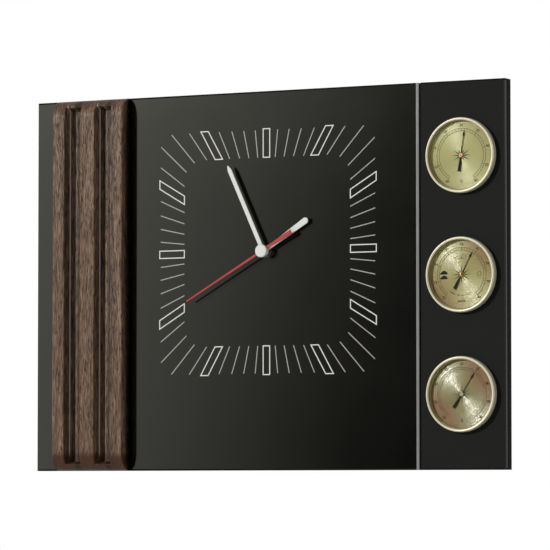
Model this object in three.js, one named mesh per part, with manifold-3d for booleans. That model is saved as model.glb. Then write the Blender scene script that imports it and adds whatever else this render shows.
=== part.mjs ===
// Wall clock with a fluted wooden moulding and three weather gauges, in millimetres.
// Everything is drawn as seen from the front: x to the right, y up, z out from the wall.
// The group exported at the end is turned so that y becomes the world's +Z and z its -Y.
// The origin lies on the wall, midway between the two keyhole hangers.

import * as THREE from 'three';
import { mergeVertices } from 'three/addons/utils/BufferGeometryUtils.js';
import Module from 'manifold-3d';

const wasm = await Module();
wasm.setup();

// Clearances and cutting allowances shared by all pieces
const gap = 0.3;
const overrun = 1;
const sink = 0.3;

// Panel: a board with two face sheets and a metal strip between them
const panel = {
  width: 490,
  height: 350,
  hangerDrop: 40,
  standoff: 12,
  boardThickness: 9,
  faceThickness: 2.7,
};
const strip = { width: 3.4, proud: 0.5, shadowGap: 1.2 };

// Fluted moulding: its ribs and the grooves between them, from the panel's left edge
const moulding = {
  fromLeft: 24.6,
  ribWidths: [13, 15.7, 13.2],
  grooveWidths: [17, 17.2],
  height: 14,
  endRadius: 17,
  ledgeHeight: 5.5,
  ledgeWidth: 2.5,
  channelWidth: 5,
  channelFloor: 1.5,
  arris: 0.8,
};

// Clock face: a square track between the moulding and the strip, and the share of the
// height left over that lies above it
const dial = {
  leftMargin: 32.6,
  rightMargin: 39.9,
  topShare: 0.282,
  print: 0.2,
  hourLength: 27.4,
  hourWidth: 7.8,
  hourStroke: 1.15,
  tickOuterInset: 1.6,
  tickInnerInset: 0.4,
  tickStroke: 0.9,
  outerCorner: 15,
  innerCorner: 20,
};

// Hands, stacked outwards from the threaded neck of the movement
const hands = {
  hour: { length: 53.4, hubWidth: 3.3, tipWidth: 6, chamfer: 2, hub: 4.5, thickness: 1 },
  minute: { length: 88, width: 4, point: 6, hub: 4, thickness: 1 },
  second: {
    length: 91.5, width: 2.3, tipWidth: 1.4, tail: 35, tailWidth: 4.2, hub: 3, thickness: 0.8,
  },
  cap: { radius: 6, thickness: 2.2, edge: 0.8 },
  firstLift: 0.6,
  lift: 1.2,
};
const shown = { hourAngle: 57.9, minuteAngle: -24.9, secondAngle: 240.7 };

// Gauges: one body size, in a column between the strip and the panel's right edge
const gauge = {
  outer: 34,
  leftMargin: 7.5,
  rightMargin: 8.7,
  spacing: 107.3,
  rise: 6.4,
  bezelEdge: 1.2,
  lipThickness: 1,
  lipWidth: 2.8,
  skirt: 2,
  wall: 0.7,
  lowerWall: 2.2,
  floorThickness: 1.2,
  caseBack: 6,
  lensThickness: 1.4,
  dialThickness: 0.8,
  dialRecess: 1.8,
  bossRadius: 2.6,
  bossHeight: 1.8,
};
const scale = { marks: 9, edgeInset: 6.5, length: 3.6, stroke: 0.5, print: 0.15 };
const scaleEndAngle = { thermometer: 148, barometer: 140, hygrometer: 140 };
const needle = {
  tipInset: 7.2,
  width: 0.7,
  head: 2.4,
  headLength: 4,
  tail: 15,
  tailWidth: 3,
  thickness: 0.4,
  lift: 0.5,
  hub: 2.1,
  hubHeight: 1,
  arborRadius: 0.8,
};
const coilSpring = { inner: 1.1, outer: 12, turns: 2.5, strip: 0.5, height: 4, stud: 1.4 };
const capsule = { radius: 16, thickness: 4.4, ridge: 0.5, post: 1.5, postHeight: 1.2, neck: 2 };
const bridge = { capsuleClear: 5.4, width: 9, thickness: 1, foot: 1.6 };
const rocker = { teeth: 56, pinionTeeth: 8, module: 0.45, thickness: 0.8, spread: 11, arm: 3, pin: 0.8 };
const adjuster = { head: 2.6, headDepth: 1, slot: 0.7, slotDepth: 0.5, shank: 1.2 };
const readingAngle = { thermometer: 8, barometer: 28, hygrometer: 33 };

// Quartz movement: a case behind the clock face, as wide as its battery needs
const movement = {
  aboveArbor: 28,
  belowArbor: 10,
  frontClearance: 2.6,
  wall: 1.4,
  coverThickness: 1.2,
  neck: 4,
  neckRise: 3.5,
  pocketPlay: 1,
  partition: 1.2,
  bayPlay: 0.9,
  cellPlay: 0.1,
};
const washer = { outer: 9, thickness: 1 };
const nut = { acrossFlats: 11, thickness: 2.2 };
const battery = { radius: 7.25, length: 49, button: 2.7, buttonLength: 1.2 };
const contact = { thickness: 0.5, width: 7, height: 9, dimple: 0.7, dimpleRadius: 2.4 };
const circuit = { width: 20, height: 8, thickness: 1, fromFront: 2.2 };
const tube = { pin: 0.6, wall: 0.6 };
const tooth = { addendum: 0.9, dedendum: 1.15, rootShare: 0.22 };
const gear = { thickness: 0.8, space: 0.6, mesh: 0.3, arborRadius: 0.6 };
const train = {
  rotor: { teeth: 6, drives: 30, module: 0.45 },
  idler: { teeth: 6, drives: 36, module: 0.45 },
  seconds: { teeth: 6, drives: 45, module: 0.4 },
  third: { teeth: 6, drives: 48 },
  cannon: { teeth: 10, drives: 30, module: 0.5 },
  motion: { teeth: 8, drives: 32, module: 0.5 },
  knob: { teeth: 8 },
};
const bearingAngle = { idler: 20, rotor: 60, third: 120, motion: 188, knob: 150 };
const magnet = { radius: 3, thickness: 2.4 };
const stator = { thickness: 1.6, web: 1.6, legs: 7.4, legWidth: 3.2, legGap: 0.8 };
const winding = { radius: 3, length: 12, cheek: 3.8, cheekThickness: 0.8, core: 1.6 };
const knob = { radius: 6, thickness: 1.8, notch: 1, stem: 1.2 };

// Rear woodwork, hangers and screws
const batten = { gaugeClear: 10.6, height: 30, bottomInset: 15 };
const hanger = {
  endInset: 40,
  length: 50,
  height: 17,
  corner: 4.25,
  thickness: 1.2,
  recess: 4,
  headHole: 4.5,
  slot: 2.5,
  slotRise: 5,
  pocketWidth: 14,
  pocketHeight: 16,
  pocketFloor: 2.2,
  screwInset: 6,
};
const hangerScrew = { head: 2.8, headHeight: 1.4, shank: 1.3, length: 7, point: 2, cross: 0.7 };
const mouldingScrew = {
  head: 3.6, headHeight: 2, shank: 1.7, length: 18, point: 3, cross: 0.9, inset: 60,
};
const screwShares = { panBack: 0.75, recessReach: 0.6, recessDepth: 0.6 };

// Mesh fineness
const sides = { large: 32, medium: 24, small: 12, arbor: 8, screw: 8 };

// Places worked out from the sizes
const left = -panel.width / 2;
const right = panel.width / 2;
const top = panel.hangerDrop;
const bottom = top - panel.height;
const boardBack = panel.standoff;
const boardFront = boardBack + panel.boardThickness;
const faceBack = boardFront + gap;
const faceFront = faceBack + panel.faceThickness;
const gaugeX = right - gauge.rightMargin - gauge.outer;
const gaugeMidY = top - panel.height / 2;
const gaugeBody = gauge.outer - gauge.skirt - gap;
const gaugePlateLeft = gaugeX - gauge.outer - gauge.leftMargin;
const stripRight = gaugePlateLeft - strip.shadowGap;
const stripLeft = stripRight - strip.width;
const ribEdges = moulding.ribWidths.map((width, i) => {
  const before = [...moulding.ribWidths.slice(0, i), ...moulding.grooveWidths.slice(0, i)];
  const start = before.reduce((sum, part) => sum + part, left + moulding.fromLeft);
  return [start, start + width];
});
const mouldingRight = ribEdges.at(-1)[1];
const trackLeft = mouldingRight + dial.leftMargin;
const trackOuter = (stripLeft - dial.rightMargin - trackLeft) / 2;
const trackInner = trackOuter - dial.hourLength;
const dialX = trackLeft + trackOuter;
const dialY = top - trackOuter - dial.topShare * (panel.height - trackOuter * 2);

// Sides of the movement's case, measured from the arbor that the hands turn on
const cellRoom = battery.length + battery.buttonLength + contact.dimple + movement.cellPlay
  + (contact.thickness + gap * 2) * 2;
const insideX = cellRoom / 2;
const insideTop = movement.aboveArbor - movement.wall;
const gearFloor = -movement.belowArbor;
const bayTop = gearFloor - movement.partition;
const bayBottom = bayTop - battery.radius * 2 - movement.bayPlay;
const caseX = insideX + movement.wall;
const caseBottom = bayBottom - movement.wall;

const paint = {
  board: [0x1c1c1b, 0.7, 0],
  face: [0x3a3a38, 0.35, 0],
  gaugeFace: [0x232322, 0.6, 0],
  aluminium: [0xb9bab8, 0.3, 1],
  walnut: [0x7a6656, 0.55, 0],
  plywood: [0x9c7b55, 0.7, 0],
  zinc: [0xa8aaac, 0.35, 1],
  black: [0x191919, 0.5, 0],
  nylon: [0xe4e0d2, 0.5, 0],
  brass: [0xc9a44c, 0.3, 1],
  champagne: [0xe6deb4, 0.25, 1],
  dial: [0xb8b07c, 0.35, 0.8],
  glass: [0xffffff, 0.05, 0],
  copper: [0xb06a3c, 0.35, 1],
  steel: [0x8f9294, 0.4, 1],
  circuit: [0x2e6b3a, 0.5, 0],
  rubber: [0x202020, 0.9, 0],
  white: [0xf2f2f0, 0.35, 0],
  red: [0xc4161c, 0.4, 0],
  battery: [0x3c4a5a, 0.4, 0.2],
};

const clock = new THREE.Group();
const gears = new THREE.Group();
gears.position.set(dialX, dialY, 0);
clock.add(gears);

/** Adds one named piece to a group. */
function place(group, name, geometry, [color, roughness, metalness]) {
  const material = new THREE.MeshStandardMaterial({ color, roughness, metalness });
  const mesh = new THREE.Mesh(geometry, material);
  mesh.name = name;
  group.add(mesh);
  return mesh;
}

/** Points of a regular polygon that stands for a circle. */
function ring(radius, count, x = 0, y = 0) {
  return Array.from({ length: count }, (_, i) => {
    const angle = (i / count) * Math.PI * 2;
    return new THREE.Vector2(x + radius * Math.cos(angle), y + radius * Math.sin(angle));
  });
}

/** Corner points of an upright rectangle. */
function corners(x0, y0, x1, y1) {
  return [[x0, y0], [x1, y0], [x1, y1], [x0, y1]].map(([x, y]) => new THREE.Vector2(x, y));
}

/** Sheet between two depths, with an outline and any holes given as lists of points. */
function sheet(outline, back, front, holes = []) {
  const shape = new THREE.Shape(outline);
  holes.forEach((hole) => shape.holes.push(new THREE.Path(hole)));
  const geometry = new THREE.ExtrudeGeometry(shape, { depth: front - back, bevelEnabled: false });
  return geometry.translate(0, 0, back);
}

/** Round cylinder along z. */
function rod(radius, back, front, count = sides.arbor, x = 0, y = 0) {
  return sheet(ring(radius, count, x, y), back, front);
}

/** Body turned about the z axis from pairs of radius and depth. */
function turned(profile, count) {
  const points = profile.map(([radius, depth]) => new THREE.Vector2(radius, depth));
  const closed = profile[0][0] === 0 ? points : [...points, points[0].clone()];
  return new THREE.LatheGeometry(closed, count).rotateX(Math.PI / 2);
}

/** Closed mesh of a geometry as a solid, with its faces pointing out. */
function solid(geometry) {
  const bare = geometry.clone();
  bare.deleteAttribute('normal');
  bare.deleteAttribute('uv');
  const merged = mergeVertices(bare);
  const places = merged.attributes.position.array;
  const faces = [];
  let volume = 0;
  const [a, b, c] = [0, 1, 2].map(() => new THREE.Vector3());
  for (let i = 0; i < merged.index.count; i += 3) {
    const face = [0, 1, 2].map((k) => merged.index.array[i + k]);
    if (new Set(face).size === face.length) {
      faces.push(face);
      [a, b, c].forEach((corner, k) => corner.fromArray(places, face[k] * 3));
      volume += a.dot(b.cross(c));
    }
  }
  const outward = volume > 0 ? faces : faces.map((face) => face.reverse());
  const mesh = new wasm.Mesh({
    numProp: 3,
    vertProperties: new Float32Array(places),
    triVerts: new Uint32Array(outward.flat()),
  });
  return new wasm.Manifold(mesh);
}

/** Geometry of a solid. */
function geometryOf(body) {
  const mesh = body.getMesh();
  const geometry = new THREE.BufferGeometry();
  geometry.setAttribute('position', new THREE.BufferAttribute(mesh.vertProperties, mesh.numProp));
  geometry.setIndex(new THREE.BufferAttribute(mesh.triVerts, 1));
  geometry.computeVertexNormals();
  return geometry;
}

/** Joins overlapping geometries into one body. */
function joined(first, ...others) {
  return geometryOf(others.reduce((body, other) => body.add(solid(other)), solid(first)));
}

/** Cuts tools out of a geometry. */
function cut(first, ...tools) {
  return geometryOf(tools.reduce((body, tool) => body.subtract(solid(tool)), solid(first)));
}

/** Outline of a gear, or of a run of its teeth, with one tooth centred on the phase. */
function teethPoints(teeth, module, phase = 0, first = 0, count = teeth) {
  const pitch = (teeth * module) / 2;
  const tip = pitch + tooth.addendum * module;
  const root = pitch - tooth.dedendum * module;
  const step = (Math.PI * 2) / teeth;
  const flank = [[root, -tooth.rootShare], [tip, 0], [root, tooth.rootShare]];
  return Array.from({ length: count }, (_, i) => flank.map(([radius, share]) => {
    const angle = phase + (first + i + share) * step;
    return new THREE.Vector2(radius * Math.cos(angle), radius * Math.sin(angle));
  })).flat();
}

/** Phase of a driven gear that meshes with a driver, along the line from driver to driven. */
function meshed(driverTeeth, drivenTeeth, driverPhase, line) {
  const lead = driverPhase - line;
  return line + Math.PI + Math.PI / drivenTeeth - (lead * driverTeeth) / drivenTeeth;
}

const radians = THREE.MathUtils.degToRad;
const polar = (distance, degrees) => [
  distance * Math.cos(radians(degrees)), distance * Math.sin(radians(degrees)),
];

/** Panel board, its two face sheets and the strip between them. */
function buildPanel() {
  const bore = gaugeBody + gap;
  const gaugeYs = [1, 0, -1].map((k) => gaugeMidY + k * gauge.spacing);
  const bores = gaugeYs.map((y) => ring(bore, sides.large, gaugeX, y));
  const reach = caseX + movement.pocketPlay;
  const pocket = corners(
    dialX - reach, dialY + caseBottom - movement.pocketPlay,
    dialX + reach, dialY + movement.aboveArbor + movement.pocketPlay,
  );
  const screwHoles = mouldingScrewYs().map((y) => (
    ring(mouldingScrew.head + gap, sides.screw, mouldingX(), y)));
  place(clock, 'panel_board', sheet(
    corners(left, bottom, right, top), boardBack, boardFront, [...bores, pocket, ...screwHoles],
  ), paint.board);
  place(clock, 'trim_strip', sheet(
    corners(stripLeft, bottom, stripRight, top), faceBack, faceFront + strip.proud,
  ), paint.aluminium);
  place(clock, 'gauge_plate', sheet(
    corners(gaugePlateLeft, bottom, right, top), faceBack, faceFront, bores,
  ), paint.gaugeFace);
  const neckHole = ring(movement.neck + gap, sides.small, dialX, dialY);
  const shankHoles = mouldingScrewYs().map((y) => (
    ring(mouldingScrew.shank + gap, sides.screw, mouldingX(), y)));
  const plate = sheet(
    corners(left, bottom, stripLeft - gap, top), faceBack, faceFront, [neckHole, ...shankHoles],
  );
  place(clock, 'dial_plate', joined(plate, ...dialMarks()), paint.face);
}

/** Point where a line beside a ray from the dial's centre meets a rounded square. */
function squarePoint(direction, offset, half, corner) {
  const side = new THREE.Vector2(-direction.y, direction.x).multiplyScalar(offset);
  const reach = Math.min(...['x', 'y'].filter((axis) => direction[axis] !== 0).map((axis) => (
    (Math.sign(direction[axis]) * half - side[axis]) / direction[axis])));
  const point = side.clone().addScaledVector(direction, reach);
  const flat = half - corner;
  if (Math.min(Math.abs(point.x), Math.abs(point.y)) <= flat) {
    return point;
  }
  const centre = new THREE.Vector2(Math.sign(point.x) * flat, Math.sign(point.y) * flat);
  const away = side.clone().sub(centre);
  const along = away.dot(direction);
  const root = Math.sqrt(along * along - away.lengthSq() + corner * corner);
  return side.addScaledVector(direction, root - along);
}

/** Four corners of a radial mark whose ends follow the square track. */
function markPoints(angle, width, inner, outer) {
  const direction = new THREE.Vector2(Math.sin(angle), Math.cos(angle));
  return [
    squarePoint(direction, width / 2, inner, dial.innerCorner),
    squarePoint(direction, -width / 2, inner, dial.innerCorner),
    squarePoint(direction, -width / 2, outer, dial.outerCorner),
    squarePoint(direction, width / 2, outer, dial.outerCorner),
  ];
}

/** Raised print of the clock face: twelve outlined hour frames and the ticks between them. */
function dialMarks() {
  const minutes = 60;
  const perHour = 5;
  return Array.from({ length: minutes }, (_, i) => {
    const angle = (i / minutes) * Math.PI * 2;
    const isHour = i % perHour === 0;
    const outline = isHour
      ? markPoints(angle, dial.hourWidth, trackInner, trackOuter)
      : markPoints(
        angle, dial.tickStroke, trackInner + dial.tickInnerInset, trackOuter - dial.tickOuterInset);
    const window = isHour
      ? [markPoints(
        angle, dial.hourWidth - dial.hourStroke * 2,
        trackInner + dial.hourStroke, trackOuter - dial.hourStroke,
      )]
      : [];
    return sheet(outline, faceFront - sink, faceFront + dial.print, window).translate(dialX, dialY, 0);
  });
}

const mouldingX = () => (ribEdges[1][0] + ribEdges[1][1]) / 2;
const mouldingScrewYs = () => [top - mouldingScrew.inset, bottom + mouldingScrew.inset];

/** Section of the fluted moulding, across the panel and out from it. */
function mouldingSection() {
  const { height, ledgeHeight, ledgeWidth, channelWidth, channelFloor, arris } = moulding;
  const points = [];
  ribEdges.forEach(([start, end], i) => {
    const foot = i === 0 ? 0 : ledgeHeight;
    points.push([start, foot], [start, height - arris], [start + arris, height]);
    points.push([end - arris, height], [end, height - arris]);
    if (i < ribEdges.length - 1) {
      const ledge = end + ledgeWidth;
      points.push([end, ledgeHeight], [ledge, ledgeHeight], [ledge, channelFloor]);
      points.push([ledge + channelWidth, channelFloor], [ledge + channelWidth, ledgeHeight]);
    } else {
      points.push([end, 0]);
    }
  });
  return points.map(([x, z]) => new THREE.Vector2(x, z));
}

/** Fluted wooden moulding with its ends rounded down to the panel. */
function buildMoulding() {
  const seat = faceFront + gap;
  const flutes = sheet(mouldingSection(), 0, panel.height)
    .rotateX(Math.PI / 2).translate(0, top, seat);
  const steps = 8;
  const side = [];
  const ends = [[bottom, 1], [top, -1]];
  ends.forEach(([end, inward], e) => {
    const arc = Array.from({ length: steps + 1 }, (_, i) => {
      const angle = (i / steps) * (Math.PI / 2);
      return new THREE.Vector2(
        end + inward * moulding.endRadius * (1 - Math.cos(angle)),
        moulding.height * Math.sin(angle),
      );
    });
    side.push(...(e === 0 ? arc : arc.reverse()));
  });
  const width = mouldingRight - left + overrun * 2;
  const envelope = sheet(side.map(({ x, y }) => new THREE.Vector2(x, y)), 0, width);
  // The side outline runs along the panel's height, so it is turned to stand across the ribs
  const turn = new THREE.Matrix4().makeBasis(
    new THREE.Vector3(0, 1, 0), new THREE.Vector3(0, 0, 1), new THREE.Vector3(1, 0, 0),
  );
  envelope.applyMatrix4(turn).translate(left - overrun, 0, seat);
  const pilots = mouldingScrewYs().map((y) => rod(
    mouldingScrew.shank + gap, seat - overrun, mouldingScrewTip() + gap, sides.screw, mouldingX(), y,
  ));
  const body = solid(flutes).intersect(solid(envelope));
  place(clock, 'wood_moulding', cut(geometryOf(body), ...pilots), paint.walnut);
}

/** Screw along +z with a cross recess in its head, from its head's back face. */
function screw(size, isPan) {
  const { head, headHeight, shank, length, point, cross } = size;
  const { panBack, recessReach, recessDepth } = screwShares;
  const lip = isPan ? [[head * panBack, 0], [head, headHeight / 2], [head, headHeight]] : [[head, 0]];
  const body = turned([
    [0, 0], ...lip, [shank, headHeight], [shank, length - point], [0, length],
  ], sides.screw);
  const arm = head * recessReach;
  const depth = headHeight * recessDepth;
  const slots = [[arm, cross / 2], [cross / 2, arm]].map(([x, y]) => (
    sheet(corners(-x, -y, x, y), -overrun, depth)));
  return cut(body, ...slots);
}

const mouldingScrewBack = () => boardBack + gap;
const mouldingScrewTip = () => mouldingScrewBack() + mouldingScrew.length;

/** Rear battens, the keyhole hangers let into the top one, and all screws. */
function buildRear() {
  const front = boardBack - gap;
  const half = gaugeX - gaugeBody - batten.gaugeClear;
  const rise = batten.height / 2;
  const sheetBack = hanger.recess - gap - hanger.thickness;
  const hangerXs = { left: hanger.endInset - half, right: half - hanger.endInset };
  const cuts = [];
  Object.entries(hangerXs).forEach(([side, x]) => {
    const seatX = hanger.length / 2 + gap;
    const seatY = hanger.height / 2 + gap;
    cuts.push(sheet(corners(x - seatX, -seatY, x + seatX, seatY), -overrun, hanger.recess));
    const pocketY = hanger.pocketHeight / 2;
    cuts.push(sheet(
      corners(x - hanger.pocketWidth / 2, -pocketY, x + hanger.pocketWidth / 2, pocketY),
      0, front - hanger.pocketFloor,
    ));
    const ends = { outer: Math.sign(x), inner: -Math.sign(x) };
    const screwXs = Object.entries(ends).map(([end, sign]) => (
      [end, x + sign * (hanger.length / 2 - hanger.screwInset)]));
    screwXs.forEach(([end, screwX]) => {
      const back = sheetBack - gap - hangerScrew.headHeight;
      const reach = back + hangerScrew.length + gap;
      cuts.push(rod(hangerScrew.shank + gap, 0, reach, sides.screw, screwX, 0));
      place(clock, `hanger_screw_${side}_${end}`, screw(hangerScrew, true), paint.zinc)
        .position.set(screwX, 0, back);
    });
    const holes = [keyhole(x), ...screwXs.map(([, screwX]) => (
      ring(hangerScrew.shank + gap, sides.screw, screwX, 0)))];
    place(clock, `keyhole_hanger_${side}`, sheet(
      roundedBar(x, 0, hanger.length, hanger.height, hanger.corner),
      sheetBack, hanger.recess - gap, holes,
    ), paint.zinc);
  });
  place(clock, 'rear_batten_top', cut(
    sheet(corners(-half, -rise, half, rise), 0, front), ...cuts,
  ), paint.plywood);
  const low = bottom + batten.bottomInset;
  place(clock, 'rear_batten_bottom', sheet(
    corners(-half, low, half, low + batten.height), 0, front,
  ), paint.plywood);
  mouldingScrewYs().forEach((y, i) => {
    place(clock, `moulding_screw_${['top', 'bottom'][i]}`, screw(mouldingScrew, false), paint.zinc)
      .position.set(mouldingX(), y, mouldingScrewBack());
  });
}

/** Bar with rounded corners, as points. */
function roundedBar(x, y, length, height, radius) {
  const steps = 3;
  const quarter = Math.PI / 2;
  return [[1, 1], [-1, 1], [-1, -1], [1, -1]].flatMap(([sx, sy], q) => (
    Array.from({ length: steps + 1 }, (_, i) => {
      const angle = (q + i / steps) * quarter;
      return new THREE.Vector2(
        x + sx * (length / 2 - radius) + radius * Math.cos(angle),
        y + sy * (height / 2 - radius) + radius * Math.sin(angle),
      );
    })));
}

/** Keyhole: a round hole for a screw head with a narrower slot rising from it. */
function keyhole(x) {
  const y = -hanger.slotRise / 2;
  const bend = Math.asin(hanger.slot / hanger.headHole);
  const steps = 10;
  const low = Array.from({ length: steps + 1 }, (_, i) => {
    const angle = Math.PI / 2 + bend + (i / steps) * (Math.PI - bend) * 2;
    return new THREE.Vector2(
      x + hanger.headHole * Math.cos(angle), y + hanger.headHole * Math.sin(angle));
  });
  const crown = steps / 2;
  const high = Array.from({ length: crown + 1 }, (_, i) => {
    const angle = (i / crown) * Math.PI;
    return new THREE.Vector2(
      x + hanger.slot * Math.cos(angle), y + hanger.slotRise + hanger.slot * Math.sin(angle));
  });
  return [...low, ...high];
}

/** Wheel layers from a depth outwards, with the number of spaces that lie behind each one. */
function wheelLayers(start) {
  const spacesBehind = [2, 1, 1, 2, 2, 2];
  let front = start;
  return spacesBehind.map((spaces) => {
    const back = front + spaces * gear.space;
    front = back + gear.thickness;
    return { back, front };
  });
}

// Depths of the movement, from the rubber washer back towards the wall
const caseFront = faceBack - gap - washer.thickness - gap;
const caseInner = caseFront - movement.wall;
const coverFront = caseInner - movement.frontClearance - wheelLayers(0).at(-1).front;
const caseBack = coverFront - movement.coverThickness;
const neckEnd = faceFront + movement.neckRise;
const [
  secondsLayer, idlerLayer, thirdLayer, centreLayer, motionLayer, hourLayer,
] = wheelLayers(coverFront);
const pitchDistance = ({ teeth, drives, module }) => ((teeth + drives) * module) / 2;
const pinTop = caseInner - gap;
const pinBottom = coverFront + gap;

// Radii of the three arbors that run one inside the other
const minuteInner = tube.pin + gap;
const minuteOuter = minuteInner + tube.wall;
const hourInner = minuteOuter + gap;
const hourOuter = hourInner + tube.wall;
const neckBore = hourOuter + gap;

// Depths of the hands
const hourHandBack = neckEnd + hands.firstLift;
const hourHandFront = hourHandBack + hands.hour.thickness;
const minuteHandBack = hourHandFront + hands.lift;
const minuteHandFront = minuteHandBack + hands.minute.thickness;
const secondHandBack = minuteHandFront + hands.lift;
const secondHandFront = secondHandBack + hands.second.thickness;

/** Wheel with teeth, bored when a bore is given. */
function wheel(teeth, module, phase, { back, front }, bore = 0) {
  return sheet(teethPoints(teeth, module, phase), back, front, bore ? [ring(bore, sides.arbor)] : []);
}

/** Layer thickened by the mesh allowance on both sides, for a pinion. */
const wide = ({ back, front }) => ({ back: back - gear.mesh, front: front + gear.mesh });

/** Going train and motion work, all turned about bearings set around the centre arbor. */
function buildTrain() {
  const { rotor, idler, seconds, third, cannon, motion } = train;
  const idlerAt = polar(pitchDistance(idler), bearingAngle.idler);
  const rotorAt = polar(pitchDistance(rotor), bearingAngle.rotor).map((v, i) => v + idlerAt[i]);
  const thirdAt = polar(pitchDistance(seconds), bearingAngle.third);
  const thirdModule = (pitchDistance(seconds) * 2) / (third.teeth + third.drives);
  const motionAt = polar(pitchDistance(cannon), bearingAngle.motion);
  const knobDistance = ((train.knob.teeth + cannon.drives) * cannon.module) / 2;
  const knobAt = polar(knobDistance, bearingAngle.knob).map((v, i) => v + motionAt[i]);

  const rotorLine = radians(bearingAngle.rotor) + Math.PI;
  const magnetBack = idlerLayer.front + gear.space;
  place(gears, 'rotor', joined(
    rod(gear.arborRadius, pinBottom, pinTop),
    wheel(rotor.teeth, rotor.module, rotorLine, {
      back: idlerLayer.back - gear.mesh, front: magnetBack + sink,
    }),
    rod(magnet.radius, magnetBack, magnetBack + magnet.thickness, sides.small),
  ), paint.steel).position.set(...rotorAt, 0);

  const idlerLine = radians(bearingAngle.idler) + Math.PI;
  const idlerPhase = meshed(rotor.teeth, rotor.drives, rotorLine, rotorLine);
  place(gears, 'intermediate_wheel', joined(
    rod(gear.arborRadius, pinBottom, thirdLayer.front),
    wheel(rotor.drives, rotor.module, idlerPhase, idlerLayer),
    wheel(idler.teeth, idler.module, idlerLine, {
      back: secondsLayer.back - gear.mesh, front: idlerLayer.back + sink,
    }),
  ), paint.nylon).position.set(...idlerAt, 0);

  const secondsLine = radians(bearingAngle.third);
  const secondsPhase = meshed(idler.teeth, idler.drives, idlerLine, idlerLine);
  place(gears, 'seconds_wheel', joined(
    rod(tube.pin, pinBottom, secondHandFront),
    wheel(idler.drives, idler.module, secondsPhase, secondsLayer),
    wheel(seconds.teeth, seconds.module, secondsLine, {
      back: secondsLayer.front - sink, front: thirdLayer.front + gear.mesh,
    }),
  ), paint.nylon);

  const thirdLine = radians(bearingAngle.third) + Math.PI;
  const thirdPhase = meshed(seconds.teeth, seconds.drives, secondsLine, secondsLine);
  place(gears, 'third_wheel', joined(
    rod(gear.arborRadius, pinBottom, pinTop),
    wheel(seconds.drives, seconds.module, thirdPhase, thirdLayer),
    wheel(third.teeth, thirdModule, thirdLine, {
      back: thirdLayer.front - sink, front: centreLayer.front + gear.mesh,
    }),
  ), paint.nylon).position.set(...thirdAt, 0);

  place(gears, 'centre_wheel', wheel(
    third.drives, thirdModule, meshed(third.teeth, third.drives, thirdLine, thirdLine),
    centreLayer, minuteOuter + gap,
  ), paint.brass);

  const cannonLine = radians(bearingAngle.motion);
  place(gears, 'cannon_pinion', cut(
    joined(
      rod(minuteOuter, thirdLayer.front + gear.mesh + gap, minuteHandFront, sides.small),
      wheel(cannon.teeth, cannon.module, cannonLine, wide(motionLayer)),
    ),
    rod(minuteInner, thirdLayer.front, minuteHandFront + overrun, sides.arbor),
  ), paint.nylon);

  const motionPhase = meshed(cannon.teeth, cannon.drives, cannonLine, cannonLine);
  const motionLine = radians(bearingAngle.motion) + Math.PI;
  place(gears, 'motion_wheel', joined(
    rod(gear.arborRadius, motionLayer.back - gap, pinTop),
    wheel(cannon.drives, cannon.module, motionPhase, motionLayer),
    wheel(motion.teeth, motion.module, motionLine, {
      back: motionLayer.front - sink, front: hourLayer.front + gear.mesh,
    }),
  ), paint.nylon).position.set(...motionAt, 0);

  const hourPhase = meshed(motion.teeth, motion.drives, motionLine, motionLine);
  place(gears, 'hour_wheel', cut(
    joined(
      wheel(motion.drives, motion.module, hourPhase, hourLayer),
      rod(hourOuter, hourLayer.back, hourHandFront, sides.small),
    ),
    rod(hourInner, hourLayer.back - overrun, hourHandFront + overrun, sides.small),
  ), paint.nylon);

  const knobLine = radians(bearingAngle.knob);
  const knobPhase = meshed(cannon.drives, train.knob.teeth, motionPhase, knobLine);
  const knobFront = caseBack - gap;
  const grip = ring(knob.radius, sides.small * 2).map((point, i) => (
    i % 2 ? point : point.multiplyScalar(1 - knob.notch / knob.radius)));
  place(gears, 'setting_knob', joined(
    sheet(grip, knobFront - knob.thickness, knobFront),
    rod(knob.stem, knobFront - sink, motionLayer.front + gear.mesh),
    wheel(train.knob.teeth, cannon.module, knobPhase, wide(motionLayer)),
  ), paint.black).position.set(...knobAt, 0);
  return { rotorAt, knobAt };
}

/** Stator with its coil, and the circuit board that drives them. */
function buildMotor(rotorAt) {
  const back = idlerLayer.front + gear.space + (magnet.thickness - stator.thickness) / 2;
  const front = back + stator.thickness;
  const [x, y] = rotorAt;
  const hole = magnet.radius + gap;
  const reach = hole + stator.web;
  const legRight = x + stator.legs;
  const legLeft = legRight - stator.legWidth;
  const legTop = insideTop - gap;
  const outline = [
    [x - reach, y - reach], [legRight, y - reach], [legRight, legTop],
    [legLeft, legTop], [legLeft, y + reach], [x - reach, y + reach],
  ].map(([px, py]) => new THREE.Vector2(px, py));
  place(gears, 'stator', sheet(outline, back, front, [ring(hole, sides.small, x, y)]), paint.steel);

  const coilY = legTop - winding.cheek;
  const coilEnd = legLeft - stator.legGap;
  const spool = (radius, from, to) => rod(radius, from, to, sides.small)
    .rotateY(-Math.PI / 2).translate(coilEnd, coilY, (back + front) / 2);
  place(gears, 'coil', joined(
    spool(winding.radius, 0, winding.length),
    spool(winding.cheek, 0, winding.cheekThickness),
    spool(winding.cheek, winding.length - winding.cheekThickness, winding.length),
    spool(winding.core, -stator.legGap + gap, winding.length + winding.core),
  ), paint.copper);

  const circuitLeft = -insideX + gap;
  const circuitBack = caseInner - circuit.fromFront;
  place(gears, 'circuit_board', sheet(
    corners(circuitLeft, legTop - circuit.height, circuitLeft + circuit.width, legTop),
    circuitBack, circuitBack + circuit.thickness,
  ), paint.circuit);
}

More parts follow.
